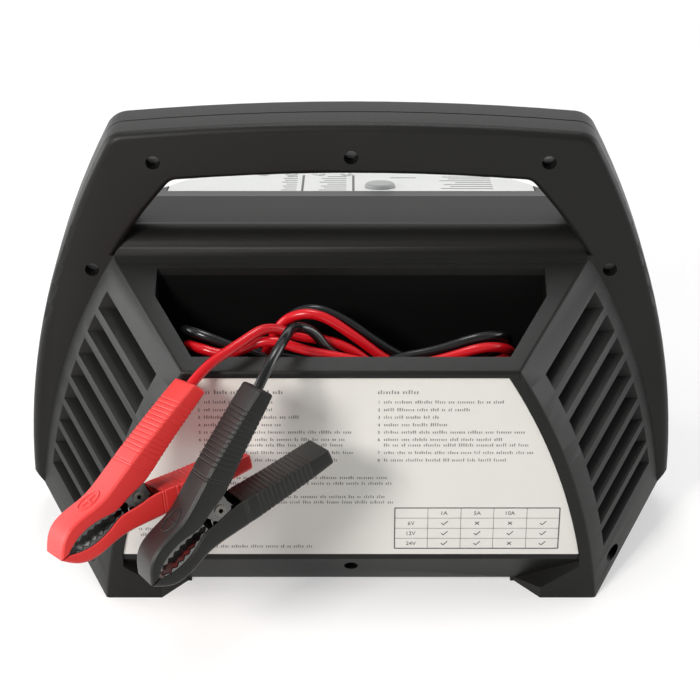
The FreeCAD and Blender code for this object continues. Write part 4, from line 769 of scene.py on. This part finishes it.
def figures(name, places, material):
    # Each place is (figure, x, z, size) in mm on the label
    vertices, faces = [], []
    first = 0
    for figure, x, z, size in places:
        points, quads = figureMesh(figure, size)
        vertices.append(onLabel(points[:, 0] + x, points[:, 1] + z, points[:, 2]))
        faces += [tuple(k + first for k in quad) for quad in quads]
        first += len(points)
    piece = addMesh(name, inMetres(np.vstack(vertices)), faces)
    recalculated(piece, printSpec["figureSharp"])
    dress(piece, material, "charger")


def tableFigures():
    # Heads along the first row and down the first column, each in the middle of its cell
    spec = tableSpec
    edges = spec["left"] + np.r_[0.0, np.cumsum(spec["columns"])]
    middles = (edges[1:] + edges[:-1]) / 2
    heights = spec["top"] - (np.arange(spec["rows"]) + 0.5) * spec["row"]
    size = spec["digits"]
    heads = [(figure, middles[k + 1], heights[0], size) for k, figure in enumerate(spec["heads"])]
    return heads + [(figure, middles[0], heights[k + 1], size) for k, figure in enumerate(spec["sides"])]


# Numbers of the rows; the row after the sixth runs on from it and has none
numberSpec = {"right": 10.9, "left": -59.2, "size": 1.9, "lift": 0.1, "runsOn": 6}
numberPlaces = []
for column, lines in ((numberSpec["right"], linesRight), (numberSpec["left"], linesLeft)):
    counted = [line for k, line in enumerate(lines) if k != numberSpec["runsOn"]]
    numberPlaces += [(str(k + 1), column, line[1] + numberSpec["lift"], numberSpec["size"])
                     for k, line in enumerate(counted)]
figures("labelFigures", tableFigures() + numberPlaces, darkInk)


def strokes(name, lines, width, place):
    # Slanted strokes: each line (x0, y0, x1, y1) is a thin box along its own direction
    lines = np.array(lines, float)
    start, end = lines[:, None, :2], lines[:, None, 2:]
    along = (end - start) / np.linalg.norm(end - start, axis=2, keepdims=True)
    aside = along[:, :, ::-1] * [-width / 2, width / 2]
    ring = np.concatenate([start - aside, end - aside, end + aside, start + aside], axis=1)
    flat = np.tile(ring, (1, 2, 1)).reshape(-1, 2)
    out = np.tile(np.repeat([0.0, printSpec["thickness"]], 4), len(lines))
    faces = (boxFaces[None] + 8 * np.arange(len(lines))[:, None, None]).reshape(-1, 4)
    return addMesh(name, inMetres(place(flat[:, 0], flat[:, 1], out)), faces)


def tableMarks():
    # The strokes of each cell's mark, moved to the middle of the cell
    spec = tableSpec
    marks = []
    for row, signs in enumerate(spec["marks"], start=1):
        z = spec["top"] - (row + 0.5) * spec["row"]
        x = spec["left"] + spec["columns"][0]
        for step, sign in zip(spec["columns"][1:], signs):
            middle = np.array([x + step / 2, z] * 2)
            marks += [middle + stroke for stroke in spec[sign]]
            x += step
    return marks


dress(strokes("labelMarks", tableMarks(), tableSpec["stroke"], onLabel), darkInk, "charger")
print("label printed")

# Control panel print, in mm: dividers (x, s, width, length down the slope), and groups of level rules
# (right end, first s, how many, length)
panelSpec = {"start": 24.0, "ridge": 139.6, "slope": 0.25, "face": -0.4,
             "dividers": [(-21.0, 12.5, 1.0, 34.0), (0.5, 12.5, 1.0, 34.0)],
             "groups": [(-23.0, 14.0, 8, 6.5), (-2.0, 14.0, 8, 11.5), (60.0, 17.0, 7, 22.0),
                        (28.0, 40.5, 1, 11.0)],
             "lengths": (1.0, 0.82, 0.93, 0.7), "ruleStep": 4.2, "rule": 0.8}


def onPanel(x, s, out):
    # Panel coordinates: x to the right, s down the slope, out along its normal
    c = 1 / math.hypot(1, panelSpec["slope"])
    k = panelSpec["slope"] * c
    n = panelSpec["face"] + out
    return np.column_stack([x, panelSpec["start"] + s * c + n * k, panelSpec["ridge"] - s * k + n * c])


panelRows = list(panelSpec["dividers"])
for right, first, count, length in panelSpec["groups"]:
    for k in range(count):
        size = length * panelSpec["lengths"][k % len(panelSpec["lengths"])]
        panelRows.append((right - size, first + panelSpec["ruleStep"] * k, size, panelSpec["rule"]))
dress(printedBoxes("panelRules", panelRows, onPanel), darkInk, "charger")
print("panel printed")

# The pieces that hang on each cord, listed by name
for colour, (piece, start) in leads.items():
    onIt = [colour + "UpperGripFine", colour + "LowerGripFine", colour + "PolaritySign"]
    onIt += [colour + "_" + name + "Fine" for name in ("upper_jaw", "lower_jaw", "rivet", "spring")]

# Floor and light; near and far are metres from the object
floorSpec = {"half": 3.0, "tone": 0.55, "rough": 0.9, "glow": 0.44, "farGlow": 1.0, "near": 0.6, "far": 1.1}
half = floorSpec["half"]
floor = addMesh("floorSheet", [(-half, -half, 0), (half, -half, 0), (half, half, 0), (-half, half, 0)],
                [(0, 1, 2, 3)])
white = (1.0, 1.0, 1.0)
floorMaterial, floorTree, floorShader = principled("paleFloor", Base_Color=(*[floorSpec["tone"]] * 3, 1.0),
                                                   Roughness=floorSpec["rough"], Emission_Color=(*white, 1.0))


def seenRays(tree):
    # 1 for what the camera, a gloss or a glass sees, 0 for the light that falls on matt surfaces
    path = tree.nodes.new("ShaderNodeLightPath")
    both = mathNode(tree, "MAXIMUM", path.outputs["Is Camera Ray"], path.outputs["Is Glossy Ray"])
    return mathNode(tree, "MAXIMUM", both, path.outputs["Is Transmission Ray"])


def glowOutward(tree):
    # Glow by the distance in metres from the object, so that the floor behind the lamps is white too
    reach = tree.nodes.new("ShaderNodeVectorMath")
    reach.operation = "LENGTH"
    tree.links.new(tree.nodes.new("ShaderNodeTexCoord").outputs["Object"], reach.inputs[0])
    return rangeNode(tree, reach.outputs["Value"], floorSpec["near"], floorSpec["far"],
                     floorSpec["glow"], floorSpec["farGlow"])


floorGlow = mathNode(floorTree, "MULTIPLY", seenRays(floorTree), glowOutward(floorTree))
floorTree.links.new(floorGlow, floorShader.inputs["Emission Strength"])
floor.data.materials.append(floorMaterial)

worldSpec = {"fill": 0.36, "seen": 1.0, "frontY": -0.6, "backY": 0.2}
world = bpy.data.worlds.new("studioWorld")
bpy.context.scene.world = world
world.use_nodes = True
background = world.node_tree.nodes["Background"]
background.inputs["Color"].default_value = (*white, 1.0)


def roomBrightness(tree):
    # White where the camera or a glass sees it, white in a gloss only towards the back, dim otherwise
    path = tree.nodes.new("ShaderNodeLightPath")
    axes = tree.nodes.new("ShaderNodeSeparateXYZ")
    tree.links.new(tree.nodes.new("ShaderNodeTexCoord").outputs["Generated"], axes.inputs["Vector"])
    spec = worldSpec
    backward = rangeNode(tree, axes.outputs["Y"], spec["frontY"], spec["backY"], 0.0, spec["seen"])
    gloss = mathNode(tree, "MULTIPLY", path.outputs["Is Glossy Ray"], backward)
    through = mathNode(tree, "MAXIMUM", path.outputs["Is Camera Ray"], path.outputs["Is Transmission Ray"])
    sight = mathNode(tree, "MULTIPLY", through, spec["seen"])
    return mathNode(tree, "MAXIMUM", mathNode(tree, "MAXIMUM", sight, gloss), spec["fill"])


world.node_tree.links.new(roomBrightness(world.node_tree), background.inputs["Strength"])

# Square lamps that face the middle of the charger: metres and watts
lightAim = (0.0, 0.0, 0.08)
lightSpec = {
    "keySoftbox": {"place": (-0.72, -1.06, 0.88), "size": 0.34, "power": 16.0, "colour": (1.0, 0.965, 0.92)},
    "topSoftbox": {"place": (0.0, 0.2, 1.15), "size": 0.40, "power": 4.6},
    "leftSoftbox": {"place": (-1.2, 0.1, 0.30), "size": 0.7, "power": 11.0},
    "rightSoftbox": {"place": (1.2, 0.1, 0.30), "size": 0.7, "power": 7.0},
    "backSoftbox": {"place": (0.0, 1.1, 0.75), "size": 1.0, "power": 1.0},
}


def addLight(name, place, size, power, colour=white):
    # A lamp shines down its own -z, which is tipped and turned towards the aim
    lamp = bpy.data.lights.new(name, "AREA")
    lamp.energy = power
    lamp.size = size
    lamp.color = colour
    lampObject = bpy.data.objects.new(name, lamp)
    bpy.context.scene.collection.objects.link(lampObject)
    lampObject.location = place
    towards = np.array(lightAim) - np.array(place)
    towards /= np.linalg.norm(towards)
    turn = math.atan2(towards[1], towards[0]) - math.pi / 2
    lampObject.rotation_euler = (math.acos(-towards[2]), 0.0, turn)


for name, spec in lightSpec.items():
    addLight(name, **spec)
print("floor and lights set")

view = bpy.context.scene.view_settings
view.view_transform = "Standard"
